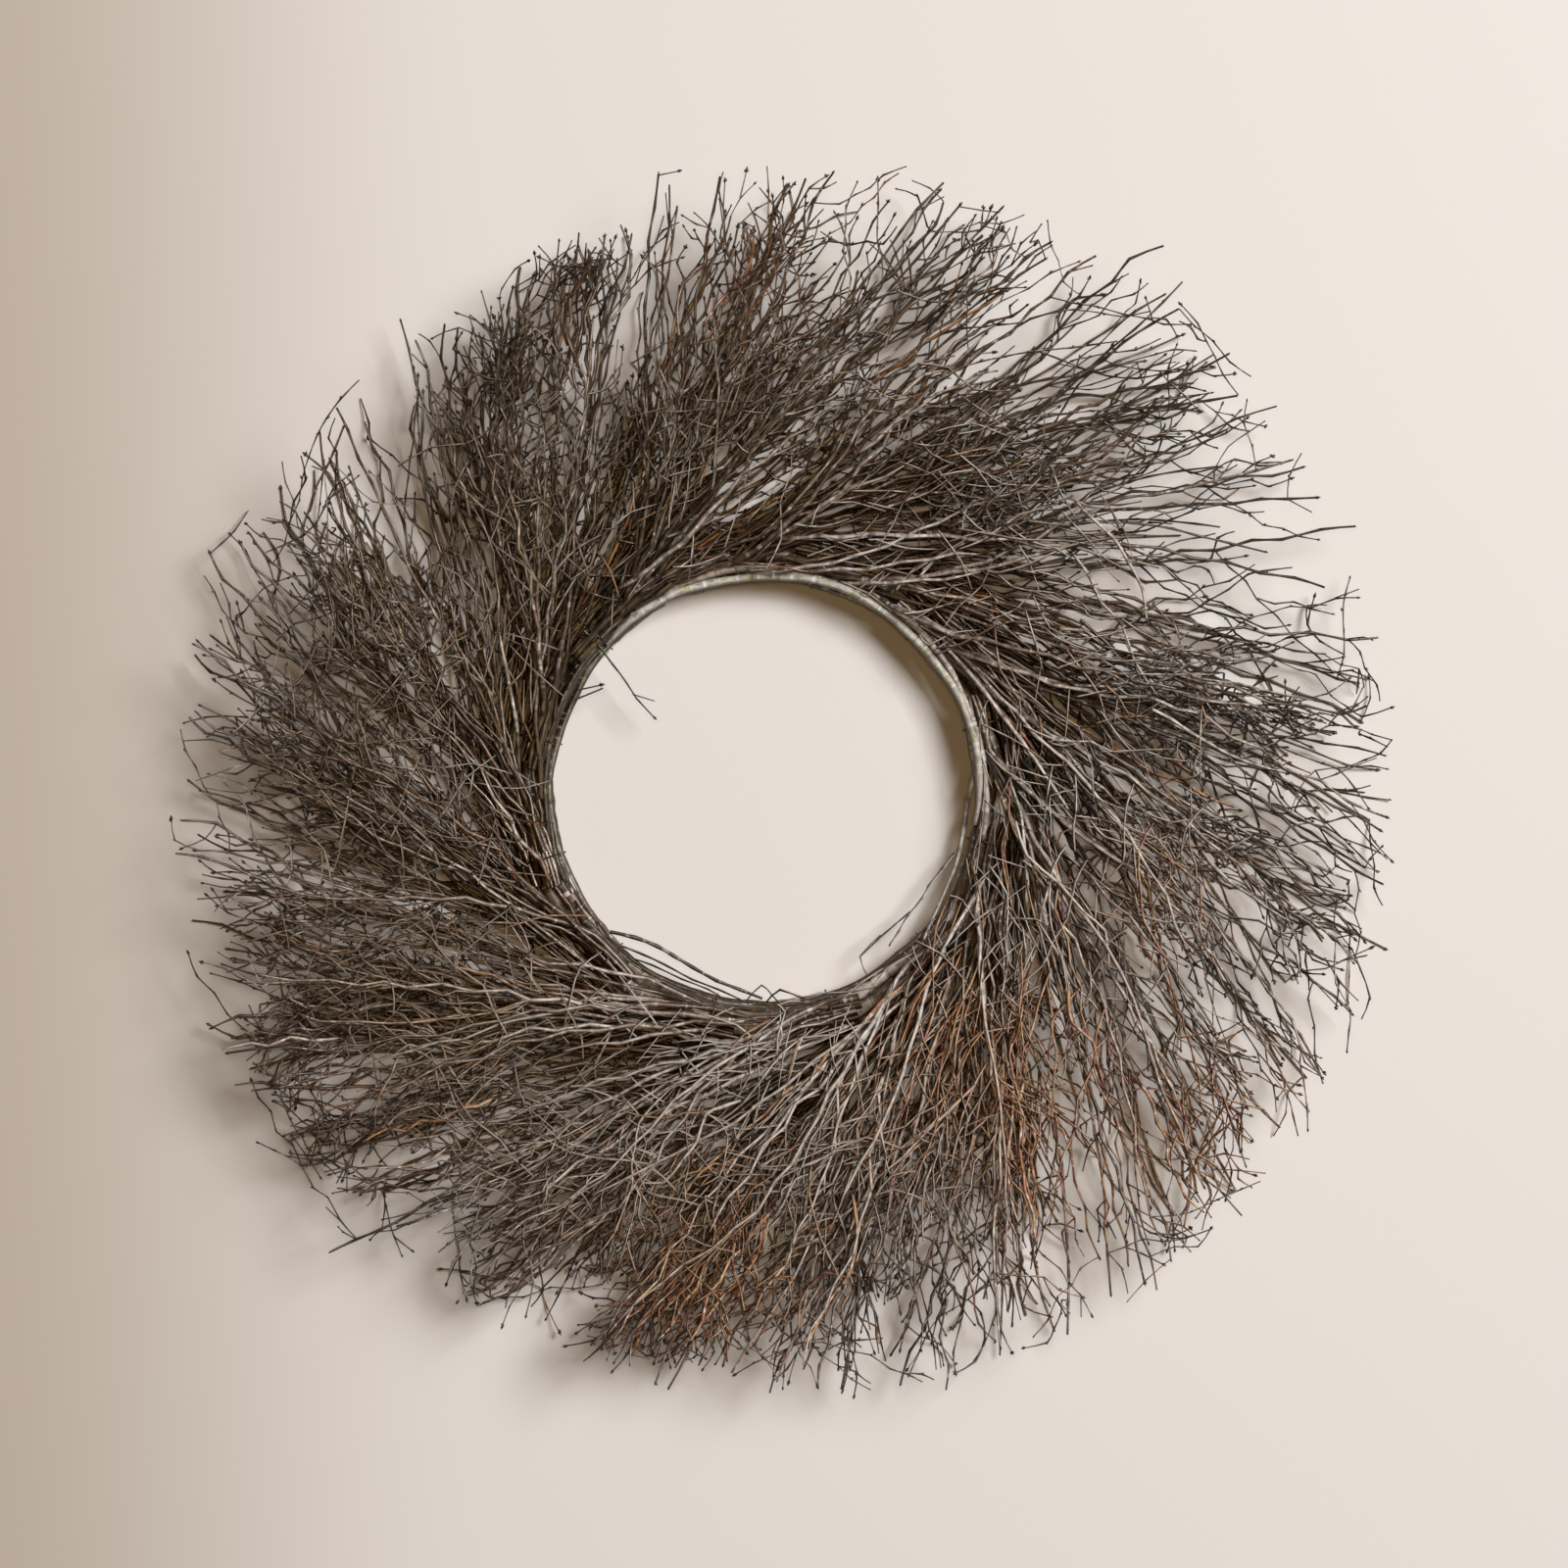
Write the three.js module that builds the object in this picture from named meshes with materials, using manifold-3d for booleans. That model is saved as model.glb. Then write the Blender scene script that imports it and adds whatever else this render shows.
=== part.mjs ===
// A twig wreath that lies on its back. Three bent stems twisted together make its hoop. Thirty-six
// sprays of bare twigs leave the hoop along its tangents, clockwise, in three layers. Twelve ties of
// wire bind their butts to the hoop. Millimetres, +Z up. The wreath's face looks up, and the side
// that hangs uppermost is at +Y.
import * as THREE from "three";
import { mergeVertices } from "three/addons/utils/BufferGeometryUtils.js";
import Module from "manifold-3d";

const wasm = await Module();
wasm.setup();
const { clamp, degToRad, lerp, smoothstep } = THREE.MathUtils;

// Driving dimensions
const HOLE_RADIUS = 103.5; // the round opening inside the hoop
const TIP_CIRCLE_RADIUS = 301; // the middle reach of the tips
const TIP_CIRCLE_CENTRE = new THREE.Vector2(9.6, 4.8); // seen from the hoop's centre
const CLEARANCE = 0.3; // between pieces that touch on the real wreath
const SEED = 4177;

// Hoop
const HOOP_STEMS = 3;
const HOOP_STEM_RADIUS = 4.2;
const HOOP_TWIST_RADIUS = 5.3; // from the middle of the twist to the middle of a stem
const HOOP_TWISTS = 4;
const HOOP_SPAN = degToRad(350); // a bent stem doesn't quite meet its own other end
const HOOP_SIDES = 6;
const HOOP_STEPS = 35;
const HOOP_STEM_LEAD = 3.5; // steps from the first station back to the first stem's end
const HOOP_FLAT_DEPTH = 0.5; // trimmed off where a stem bears on the surface below

// The thin shoot of the first hoop stem that bows into the opening: azimuth in degrees, distance
// from the hoop's centre, height. Its fork leaves it at the third point.
const SHOOT_RADIUS = 1.3;
const SHOOT_SIDES = 5;
const SHOOT_TAPER = 0.5; // the share of its radius that it loses to its tip
const SHOOT_STEPS = 3; // between two points of its route
const SHOOT_ROUTE = [
  [9.1, 107.4, 8.4],
  [1, 101.6, 11],
  [-18, 98.9, 14],
  [-34, 98.4, 15.5],
  [-47, 103.5, 19],
];
const SHOOT_FORK_TIP = [-51, 93, 18];
const SHOOT_FORK_SHARE = 0.6; // of the shoot's radius

// Stations, each with a back, a middle and a front spray
const STATIONS = 12;
const STATION_ANGLE = (2 * Math.PI) / STATIONS;
const FIRST_STATION = degToRad(77);
const LAYER_STAGGER = degToRad(5); // how much earlier each layer leaves the hoop than the one below
const EDGE_JITTER = degToRad(3.5); // how unevenly neighbours share a layer
const EDGE_LEAD = 0.7; // of the stagger, by which every layer's borders come early
// How far the sprays of each station reach, as a share of the tip circle, clockwise from the first.
const STATION_REACH = [1, 1.01, 1.03, 1.02, 1, 1.02, 0.99, 1.02, 0.96, 0.96, 1.02, 1.01];
const REACH_JITTER = 0.03;

// Sprays
const BUNDLE_RADIUS = 4.5; // the butts, pressed together
const BUNDLE_END_RADIUS = 3.2;
const BUNDLE_END = 22; // along its tangent, past the tie
const BUNDLE_BUTTS = 4;
const BUNDLE_GROOVE = 0.78; // the share of the radius left between two butts
const LEADERS = 3;
const LEADER_START = 19;
const LEADER_STEP = 58;
const SHORTEST_STEP = LEADER_STEP / 3;
const LEADER_RADIUS = 2.1;
const LEADER_END_RADIUS = 0.8;
const LEADER_JITTER = 0.16; // of the spray's width, in where a leader lies
const LEADER_WANDER = 7; // at a bend, once it is clear of the bundle
const LIFT_SWING = 0.26; // of the layer's height, up or down from its middle
const LIFT_EVENNESS = 0.4; // the least share of that swing
const SIDE_TWIG_RADIUS = 1.05;
const SIDE_TWIG_SHARE = 0.8; // of the radius of its leader there
const SIDE_TWIG_LENGTH = [70, 112];
const POINT_ROOM = 0.2; // kept round the point of a side twig
const FORK_ANGLE = [degToRad(17), degToRad(34)];
const FORK_ROLL = degToRad(50);
const FORK_SHARES = [0.2, 0.65]; // where side twigs leave each length of a leader
const TWIG_SIDES = 3;
const SPREAD_LENGTH = 120; // where the leaders of a spray have taken their own directions
const RISE_LENGTH = 80;
const JOIN_TOLERANCE = 0.05; // slivers left by a join are cleared within this
const EDGE_GAP = 0.35; // left between a twig and the border of its spray's own space

// Ties
const WIRE_RADIUS = 0.45;
const TIE_CORNERS = 9;
const TIE_TURN = 0.25; // of a corner's share of the turn, which squares the tie to the hoop
const TIE_SIDES = 3;

// The twist repeats at every station. Under a tie the hoop has a stem on top and two below, so the
// wire clears the surface, and midway between two ties a stem bears on it.
const HOOP_STEM_STEP = (2 * Math.PI) / HOOP_STEMS;
const HOOP_STEM_START = FIRST_STATION + HOOP_STEM_LEAD * (HOOP_SPAN / HOOP_STEPS);
const HOOP_REACH = Math.sqrt(
  HOOP_TWIST_RADIUS ** 2 +
    HOOP_STEM_RADIUS ** 2 +
    2 * HOOP_TWIST_RADIUS * HOOP_STEM_RADIUS * Math.cos(Math.PI / HOOP_SIDES),
);
const HOOP_RADIUS = HOLE_RADIUS + HOOP_REACH;
const HOOP_STEM_FLAT = HOOP_STEM_RADIUS * Math.cos(Math.PI / HOOP_SIDES);
const HOOP_HEIGHT = HOOP_TWIST_RADIUS + HOOP_STEM_FLAT - HOOP_FLAT_DEPTH;

// A layer lies between a lower and an upper surface, both dished: each has one height at the hoop
// and one at the tips. Its bundles sit round the hoop's section at an angle from outside and at a
// distance from the middle of the twist, and their butts stick out behind the tie.
const LAYER_INNER_RADIUS = 125;
const LAYERS = [
  { name: "back", seat: [-11, 13.2], butt: 9, floor: [1.2, 1.2], ceiling: [12, 27] },
  { name: "middle", seat: [36, 11.3], butt: 12, floor: [12, 27], ceiling: [23.6, 50] },
  { name: "front", seat: [90, 13.3], butt: 15, floor: [23.6, 50], ceiling: [36, 74] },
].map((layer, index) => ({
  ...layer,
  index,
  radius: HOOP_RADIUS + layer.seat[1] * Math.cos(degToRad(layer.seat[0])),
  seatHeight: HOOP_HEIGHT + layer.seat[1] * Math.sin(degToRad(layer.seat[0])),
  tiedRadius: lerp(BUNDLE_RADIUS, BUNDLE_END_RADIUS, layer.butt / (layer.butt + BUNDLE_END)),
}));

const TWIG_COLOURS = [0x4d433c, 0x5a4d44, 0x665850];
const BARK_COLOUR = 0x9a8f80;
const WIRE_COLOUR = 0x3a3632;

// Seeded draws between 0 and 1, the same on every run.
function dice(seed) {
  const modulus = 2147483647;
  let state = (seed * 7919) % modulus;
  const draw = () => {
    state = (state * 16807) % modulus;
    return state / modulus;
  };
  draw();
  return draw;
}

const between = (draw, [low, high]) => lerp(low, high, draw());

// A three.js geometry as a solid that can be joined and cut, and back.
function solid(geometry) {
  const bare = new THREE.BufferGeometry().setAttribute("position", geometry.getAttribute("position"));
  if (geometry.index) bare.setIndex(geometry.index);
  const merged = mergeVertices(bare, 1e-4);
  return new wasm.Manifold(
    new wasm.Mesh({
      numProp: 3,
      vertProperties: merged.getAttribute("position").array,
      triVerts: new Uint32Array(merged.index.array),
    }),
  );
}

function geometryOf(body) {
  const mesh = body.getMesh();
  return new THREE.BufferGeometry()
    .setAttribute("position", new THREE.BufferAttribute(mesh.vertProperties, 3))
    .setIndex(new THREE.BufferAttribute(mesh.triVerts, 1));
}

// Skins a row of rings of points, with flat ends or, where closed, round to the first ring again.
function loft(rings, closed = false) {
  const sides = rings[0].length;
  const faces = [];
  const joins = closed ? rings.length : rings.length - 1;
  for (let k = 0; k < joins; k++) {
    const next = (k + 1) % rings.length;
    for (let i = 0; i < sides; i++) {
      const j = (i + 1) % sides;
      const [a, b] = [k * sides + i, k * sides + j];
      if (rings[next].length === 1) {
        faces.push(a, b, next * sides);
      } else {
        faces.push(a, b, next * sides + j, a, next * sides + j, next * sides + i);
      }
    }
  }
  const last = (rings.length - 1) * sides;
  for (let i = 1; i + 1 < sides && !closed; i++) {
    faces.push(0, i + 1, i);
    if (rings.at(-1).length > 1) faces.push(last, last + i, last + i + 1);
  }
  return new THREE.BufferGeometry().setFromPoints(rings.flat()).setIndex(faces);
}

const UP = new THREE.Vector3(0, 0, 1);

// A ring of points round p, square to a direction. radiusAt gives the radius at each side.
function section(p, direction, sides, radiusAt) {
  const across = direction.clone().cross(UP).normalize();
  const over = across.clone().cross(direction).normalize();
  return Array.from({ length: sides }, (_, i) => {
    const turn = (2 * Math.PI * i) / sides + Math.PI / 2;
    return p
      .clone()
      .addScaledVector(across, -radiusAt(i) * Math.cos(turn))
      .addScaledVector(over, radiusAt(i) * Math.sin(turn));
  });
}

function directions(points) {
  return points.map((_, k) =>
    points[Math.min(k + 1, points.length - 1)].clone().sub(points[Math.max(k - 1, 0)]).normalize(),
  );
}

// A tapering twig along a row of points, which ends in a point.
function twig(points, radii, sides = TWIG_SIDES) {
  const along = directions(points);
  const rings = points.map((p, k) =>
    k + 1 < points.length ? section(p, along[k], sides, () => radii[k]) : [p],
  );
  return solid(loft(rings));
}

// The point a distance along the clockwise tangent that touches a circle at an azimuth.
function onTangent(radius, azimuth, distance, height) {
  return new THREE.Vector3(
    radius * Math.cos(azimuth) + distance * Math.sin(azimuth),
    radius * Math.sin(azimuth) - distance * Math.cos(azimuth),
    height,
  );
}

function layerHeights(layer, radius) {
  const outward = Math.max(0, (radius - LAYER_INNER_RADIUS) / (TIP_CIRCLE_RADIUS - LAYER_INNER_RADIUS));
  return [lerp(...layer.floor, outward), lerp(...layer.ceiling, outward)];
}

// The middle of a bundle, which leaves the hoop straight along the tangent at its seat.
function bundlePoint(spray, distance) {
  return onTangent(spray.layer.radius, spray.seat, distance, spray.layer.seatHeight);
}

// A point of a leader. Its lead is the angle from the seat on to where its own tangent touches the
// hoop, and its lift is a share of the layer's height.
function leaderPoint(spray, lead, lift, distance) {
  const { layer, seat } = spray;
  const turned = lead * smoothstep(distance, 0, SPREAD_LENGTH);
  const beyond = distance - layer.radius * turned;
  const p = onTangent(layer.radius, seat - turned, Math.max(beyond, 0), 0);
  const [floor, ceiling] = layerHeights(layer, Math.hypot(p.x, p.y));
  p.z = lerp(layer.seatHeight, lerp(floor, ceiling, lift), smoothstep(distance, 0, RISE_LENGTH));
  return p;
}

// How far along the tangent with this lead the tips of a spray may go.
function reach(spray, lead) {
  const azimuth = spray.seat - lead;
  const foot = onTangent(spray.layer.radius, azimuth, 0, 0);
  const x = foot.x - TIP_CIRCLE_CENTRE.x;
  const y = foot.y - TIP_CIRCLE_CENTRE.y;
  const middle = x * Math.sin(azimuth) - y * Math.cos(azimuth);
  return Math.sqrt(middle * middle - x * x - y * y + (TIP_CIRCLE_RADIUS * spray.fullness) ** 2) - middle;
}

// Moves a point into the space that a spray has to itself.
function kept(spray, p, radius) {
  const { layer, seat, edges } = spray;
  const distance = Math.sqrt(Math.max(p.x * p.x + p.y * p.y - layer.radius * layer.radius, 1));
  const azimuth = Math.atan2(p.y, p.x) + Math.atan2(distance, layer.radius);
  const turn = seat - azimuth;
  const lead = turn - 2 * Math.PI * Math.round(turn / (2 * Math.PI));
  const margin = (radius + EDGE_GAP) / distance;
  const keptLead = clamp(lead, edges[0] + margin, edges[1] - margin);
  const q = onTangent(layer.radius, seat - keptLead, Math.min(distance, reach(spray, keptLead)), p.z);
  const [floor, ceiling] = layerHeights(layer, Math.hypot(q.x, q.y));
  q.z = clamp(q.z, floor + radius + EDGE_GAP, ceiling - radius - EDGE_GAP);
  return q;
}

function bundle(spray) {
  const along = bundlePoint(spray, 1).sub(bundlePoint(spray, 0));
  const ring = (distance, radius) =>
    section(bundlePoint(spray, distance), along, 2 * BUNDLE_BUTTS, (i) =>
      i % 2 ? radius * BUNDLE_GROOVE : radius,
    );
  return solid(loft([ring(-spray.layer.butt, BUNDLE_RADIUS), ring(BUNDLE_END, BUNDLE_END_RADIUS)]));
}

// One leader of a spray, with its side twigs in forks at each node.
function leader(spray, index) {
  const { draw, edges, layer } = spray;
  const across = (index + 0.5) / LEADERS + LEADER_JITTER * (draw() - 0.5);
  const lead = lerp(edges[0], edges[1], across);
  const swing = ((index + layer.index) % 2) * 2 - 1;
  const lift = 0.5 + LIFT_SWING * swing * lerp(LIFT_EVENNESS, 1, draw());
  const length = layer.radius * lead + reach(spray, lead);
  const points = [];
  for (let d = LEADER_START; d < length - SHORTEST_STEP; d += LEADER_STEP) {
    const p = leaderPoint(spray, lead, lift, d);
    const wander = d > SPREAD_LENGTH ? LEADER_WANDER : 0;
    p.add(new THREE.Vector3(draw() - 0.5, draw() - 0.5, draw() - 0.5).multiplyScalar(wander));
    points.push(p);
  }
  points.push(leaderPoint(spray, lead, lift, length));
  const last = points.length - 1;
  const radii = points.map((_, k) => lerp(LEADER_RADIUS, LEADER_END_RADIUS, k / (last - 1)));
  const inner = points.map((p, k) => (k < 2 ? p : kept(spray, p, k < last ? radii[k] : 0)));
  const twigs = [twig(inner, radii)];
  let side = draw() < 0.5 ? -1 : 1;
  for (let k = 1; k < last; k++) {
    const span = inner[k + 1].clone().sub(inner[k]);
    const along = span.clone().normalize();
    for (const share of FORK_SHARES) {
      const axis = UP.clone().applyAxisAngle(along, FORK_ROLL * (2 * draw() - 1));
      const heading = along.clone().applyAxisAngle(axis, side * between(draw, FORK_ANGLE));
      const root = inner[k].clone().lerp(inner[k + 1], share);
      const thin = SIDE_TWIG_SHARE * lerp(radii[k], radii[k + 1], share);
      const tip = root.clone().addScaledVector(heading, between(draw, SIDE_TWIG_LENGTH));
      twigs.push(twig([root, kept(spray, tip, POINT_ROOM)], [Math.min(SIDE_TWIG_RADIUS, thin)]));
      side = -side;
    }
  }
  return twigs;
}

function spraySolid(spray) {
  const pieces = [bundle(spray)];
  for (let index = 0; index < LEADERS; index++) pieces.push(...leader(spray, index));
  return wasm.Manifold.union(pieces).asOriginal().simplify(JOIN_TOLERANCE);
}

// A point from its azimuth, its distance from the hoop's middle axis and its height.
function polar(azimuth, radius, height) {
  return new THREE.Vector3(radius * Math.cos(azimuth), radius * Math.sin(azimuth), height);
}

// How far round the middle of the twist a hoop stem is, from outside.
function hoopTwist(stem, azimuth) {
  return HOOP_TWISTS * (azimuth - FIRST_STATION) + Math.PI / 2 + HOOP_STEM_STEP * stem;
}

// The flats of the section face outwards from the middle of the twist, so one lies down flat.
function hoopStemSection(stem, azimuth) {
  const twist = hoopTwist(stem, azimuth);
  return Array.from({ length: HOOP_SIDES }, (_, i) => {
    const turn = twist - (2 * Math.PI * (i + 0.5)) / HOOP_SIDES;
    return polar(
      azimuth,
      HOOP_RADIUS + HOOP_TWIST_RADIUS * Math.cos(twist) + HOOP_STEM_RADIUS * Math.cos(turn),
      HOOP_HEIGHT + HOOP_TWIST_RADIUS * Math.sin(twist) + HOOP_STEM_RADIUS * Math.sin(turn),
    );
  });
}

function hoopStemSolid(stem) {
  const start = HOOP_STEM_START + HOOP_STEM_STEP * stem;
  const rings = Array.from({ length: HOOP_STEPS + 1 }, (_, k) =>
    hoopStemSection(stem, start - (HOOP_SPAN * k) / HOOP_STEPS),
  );
  const under = new THREE.BoxGeometry(4 * HOOP_RADIUS, 4 * HOOP_RADIUS, HOOP_RADIUS);
  under.translate(0, 0, -HOOP_RADIUS / 2);
  return solid(loft(rings.reverse())).subtract(solid(under));
}

function shootSolid() {
  const route = SHOOT_ROUTE.map(([turn, radius, height]) => polar(degToRad(turn), radius, height));
  const curve = new THREE.CatmullRomCurve3(route).getPoints(SHOOT_STEPS * (route.length - 1));
  const radii = curve.map((_, k) => SHOOT_RADIUS * (1 - (SHOOT_TAPER * k) / curve.length));
  const [turn, radius, height] = SHOOT_FORK_TIP;
  const fork = [route[2], polar(degToRad(turn), radius, height)];
  return twig(curve, radii, SHOOT_SIDES).add(twig(fork, [SHOOT_FORK_SHARE * SHOOT_RADIUS]));
}

const wreath = new THREE.Group();

function add(name, body, colour, roughness, metalness = 0) {
  const mesh = new THREE.Mesh(
    geometryOf(body),
    new THREE.MeshStandardMaterial({ color: colour, roughness, metalness, flatShading: true }),
  );
  mesh.name = name;
  wreath.add(mesh);
}

for (let stem = 0; stem < HOOP_STEMS; stem++) {
  const bare = hoopStemSolid(stem);
  const grown = stem === 0 ? bare.add(shootSolid()) : bare;
  add(`hoop_stem_${stem + 1}`, grown, BARK_COLOUR, 0.9);
}

// Borders between neighbours in a layer, as angles on from the earlier one's seat.
const borders = LAYERS.map((layer) => {
  const draw = dice(SEED + 100 * (layer.index + 1));
  const middle = STATION_ANGLE / 2 - LAYER_STAGGER * (layer.index + EDGE_LEAD);
  return Array.from({ length: STATIONS }, () => middle + EDGE_JITTER * (2 * draw() - 1));
});

const sprays = LAYERS.flatMap((layer) =>
  Array.from({ length: STATIONS }, (_, station) => {
    const draw = dice(SEED + 1000 * (layer.index + 1) + station);
    return {
      name: `${layer.name}_spray_${String(station + 1).padStart(2, "0")}`,
      layer,
      draw,
      seat: FIRST_STATION - STATION_ANGLE * station,
      edges: [
        borders[layer.index][(station + STATIONS - 1) % STATIONS] - STATION_ANGLE,
        borders[layer.index][station],
      ],
      fullness: STATION_REACH[station] - REACH_JITTER * draw(),
    };
  }),
);
for (const spray of sprays) add(spray.name, spraySolid(spray), TWIG_COLOURS[spray.layer.index], 0.85);

// A tie is a closed turn of wire pulled round the hoop and the three bundles of its station. Its
// corners are where the straight lines that touch what it holds, all from outside, cross each other.
function tieSolid(station) {
  const azimuth = FIRST_STATION - STATION_ANGLE * station;
  const bundles = LAYERS.map(({ radius, seatHeight, tiedRadius }) => ({
    x: radius,
    z: seatHeight,
    radius: tiedRadius,
  }));
  const stems = Array.from({ length: HOOP_STEMS }, (_, stem) => ({
    x: HOOP_RADIUS + HOOP_TWIST_RADIUS * Math.cos(hoopTwist(stem, azimuth)),
    z: HOOP_HEIGHT + HOOP_TWIST_RADIUS * Math.sin(hoopTwist(stem, azimuth)),
    radius: HOOP_STEM_RADIUS,
  }));
  const touch = (turn) =>
    Math.max(...[...bundles, ...stems].map((c) => c.x * Math.cos(turn) + c.z * Math.sin(turn) + c.radius)) +
    CLEARANCE +
    WIRE_RADIUS;
  const step = (2 * Math.PI) / TIE_CORNERS;
  const corners = Array.from({ length: TIE_CORNERS }, (_, k) => {
    const [a, b] = [(k - TIE_TURN) * step, (k + 1 - TIE_TURN) * step];
    return new THREE.Vector2(
      (touch(a) * Math.sin(b) - touch(b) * Math.sin(a)) / Math.sin(step),
      (touch(b) * Math.cos(a) - touch(a) * Math.cos(b)) / Math.sin(step),
    );
  });
  const rings = corners.map((corner, k) => {
    const before = corners[(k + TIE_CORNERS - 1) % TIE_CORNERS];
    const after = corners[(k + 1) % TIE_CORNERS];
    const along = after.clone().sub(before).normalize();
    return Array.from({ length: TIE_SIDES }, (_, i) => {
      const turn = (2 * Math.PI * i) / TIE_SIDES;
      const off = WIRE_RADIUS * Math.cos(turn);
      const aside = new THREE.Vector3(Math.sin(azimuth), -Math.cos(azimuth), 0);
      return polar(azimuth, corner.x + off * along.y, corner.y - off * along.x).addScaledVector(
        aside,
        -WIRE_RADIUS * Math.sin(turn),
      );
    });
  });
  return solid(loft(rings, true));
}
for (let station = 0; station < STATIONS; station++) {
  add(`tie_${String(station + 1).padStart(2, "0")}`, tieSolid(station), WIRE_COLOUR, 0.55, 0.6);
}

// The origin is under the middle of the whole wreath, on the surface that it lies on.
const box = new THREE.Box3().setFromObject(wreath);
const centre = box.getCenter(new THREE.Vector3());
wreath.position.set(-centre.x, -centre.y, -box.min.z);

export default wreath;
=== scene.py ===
# %% [markdown]
# # A twig wreath
#
# The wreath lies on its back and is seen from straight above. Its hoop is three bent stems twisted
# together. Sprays of bare shrub twigs leave the hoop along its tangents, all the same way round, in
# three layers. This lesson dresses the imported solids: every spray of a few dozen three-sided twigs
# is replaced by a grown one, whose shoots fork again and have swollen nodes, buds and bark.

# %% Load the frame
import math
import bpy
from mathutils import Matrix, Vector


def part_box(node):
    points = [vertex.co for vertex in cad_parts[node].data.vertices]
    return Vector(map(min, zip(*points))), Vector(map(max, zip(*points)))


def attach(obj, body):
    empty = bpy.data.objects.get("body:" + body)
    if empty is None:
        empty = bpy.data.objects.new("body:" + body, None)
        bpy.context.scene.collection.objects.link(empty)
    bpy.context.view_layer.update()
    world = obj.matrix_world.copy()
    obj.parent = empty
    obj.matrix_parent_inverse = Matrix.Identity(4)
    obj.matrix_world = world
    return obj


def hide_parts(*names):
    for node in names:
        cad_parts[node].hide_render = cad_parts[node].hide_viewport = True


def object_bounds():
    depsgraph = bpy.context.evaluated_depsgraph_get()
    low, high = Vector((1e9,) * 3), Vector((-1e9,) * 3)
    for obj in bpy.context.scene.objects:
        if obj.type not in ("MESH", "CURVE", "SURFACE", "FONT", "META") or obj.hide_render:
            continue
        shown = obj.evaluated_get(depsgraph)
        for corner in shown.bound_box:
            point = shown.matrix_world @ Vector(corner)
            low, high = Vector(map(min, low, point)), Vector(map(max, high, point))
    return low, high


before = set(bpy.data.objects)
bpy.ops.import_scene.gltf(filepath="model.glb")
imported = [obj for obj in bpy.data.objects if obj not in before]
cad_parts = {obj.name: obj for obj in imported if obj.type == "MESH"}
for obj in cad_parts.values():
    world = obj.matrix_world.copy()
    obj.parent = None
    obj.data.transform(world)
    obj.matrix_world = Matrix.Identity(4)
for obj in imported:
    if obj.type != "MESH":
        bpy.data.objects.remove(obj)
cad_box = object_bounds()
print("CAD box:", [[round(v, 4) for v in corner] for corner in cad_box])

# %% [markdown]
# ## Where things are
#
# The solids are grown by a rule with seeded draws. The same rule is repeated here with the same
# seeds, so that each grown twig lies where its solid twig is. The rule works in millimetres round
# the hoop's centre. The twelve ties stand evenly round the hoop, so the mean of their boxes is that
# centre, and no measured number has to be copied.

# %% Sizes shared with the solids
MM = 0.001
TIES = sorted(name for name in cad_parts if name.startswith("tie_"))
tie_middles = [(Vector(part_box(name)[0]) + Vector(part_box(name)[1])) / 2 for name in TIES]
HOOP_CENTRE = sum(tie_middles, Vector()) / len(TIES)
HOOP_CENTRE.z = 0

SEED = 4177
TIP_CIRCLE_RADIUS = 301
TIP_CIRCLE_CENTRE = Vector((9.6, 4.8))
HOLE_RADIUS = 103.5
HOOP_STEMS = 3
HOOP_STEM_RADIUS = 4.2
HOOP_TWIST_RADIUS = 5.3
HOOP_TWISTS = 4
HOOP_SPAN = math.radians(350)
HOOP_STEM_LEAD = 0.1  # of that span, from the first station back to the first stem's end
HOOP_FLAT_DEPTH = 0.5
SHOOT_RADIUS = 1.3
SHOOT_TAPER = 0.5
SHOOT_ROUTE = ((9.1, 107.4, 8.4), (1, 101.6, 11), (-18, 98.9, 14), (-34, 98.4, 15.5), (-47, 103.5, 19))
SHOOT_FORK_TIP = (-51, 93, 18)
SHOOT_FORK_SHARE = 0.6
BUNDLE_RADIUS = 4.5
BUNDLE_END_RADIUS = 3.2
BUNDLE_END = 22
WIRE_RADIUS = 0.45
CLEARANCE = 0.3
STATIONS = len(TIES)
STATION_ANGLE = 2 * math.pi / STATIONS
FIRST_STATION = math.radians(77)
LAYER_STAGGER = math.radians(5)
EDGE_JITTER = math.radians(3.5)
EDGE_LEAD = 0.7
STATION_REACH = [1, 1.01, 1.03, 1.02, 1, 1.02, 0.99, 1.02, 0.96, 0.96, 1.02, 1.01]
REACH_JITTER = 0.03
LEADERS = 3
LEADER_START = 19
LEADER_STEP = 58
LEADER_RADIUS = 2.1
LEADER_END_RADIUS = 0.8
LEADER_JITTER = 0.16
LEADER_WANDER = 7
LIFT_SWING = 0.26
LIFT_EVENNESS = 0.4
SIDE_TWIG_LENGTH = (70, 112)
POINT_ROOM = 0.2
FORK_ANGLE = (math.radians(17), math.radians(34))
FORK_ROLL = math.radians(50)
FORK_SHARES = (0.2, 0.65)
SPREAD_LENGTH = 120
RISE_LENGTH = 80
EDGE_GAP = 0.35
LAYER_INNER_RADIUS = 125

hexagon = math.cos(math.pi / 6)
HOOP_REACH = math.sqrt(
    HOOP_TWIST_RADIUS**2 + HOOP_STEM_RADIUS**2 + 2 * HOOP_TWIST_RADIUS * HOOP_STEM_RADIUS * hexagon
)
HOOP_RADIUS = HOLE_RADIUS + HOOP_REACH
HOOP_HEIGHT = HOOP_TWIST_RADIUS + HOOP_STEM_RADIUS * hexagon - HOOP_FLAT_DEPTH


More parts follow.
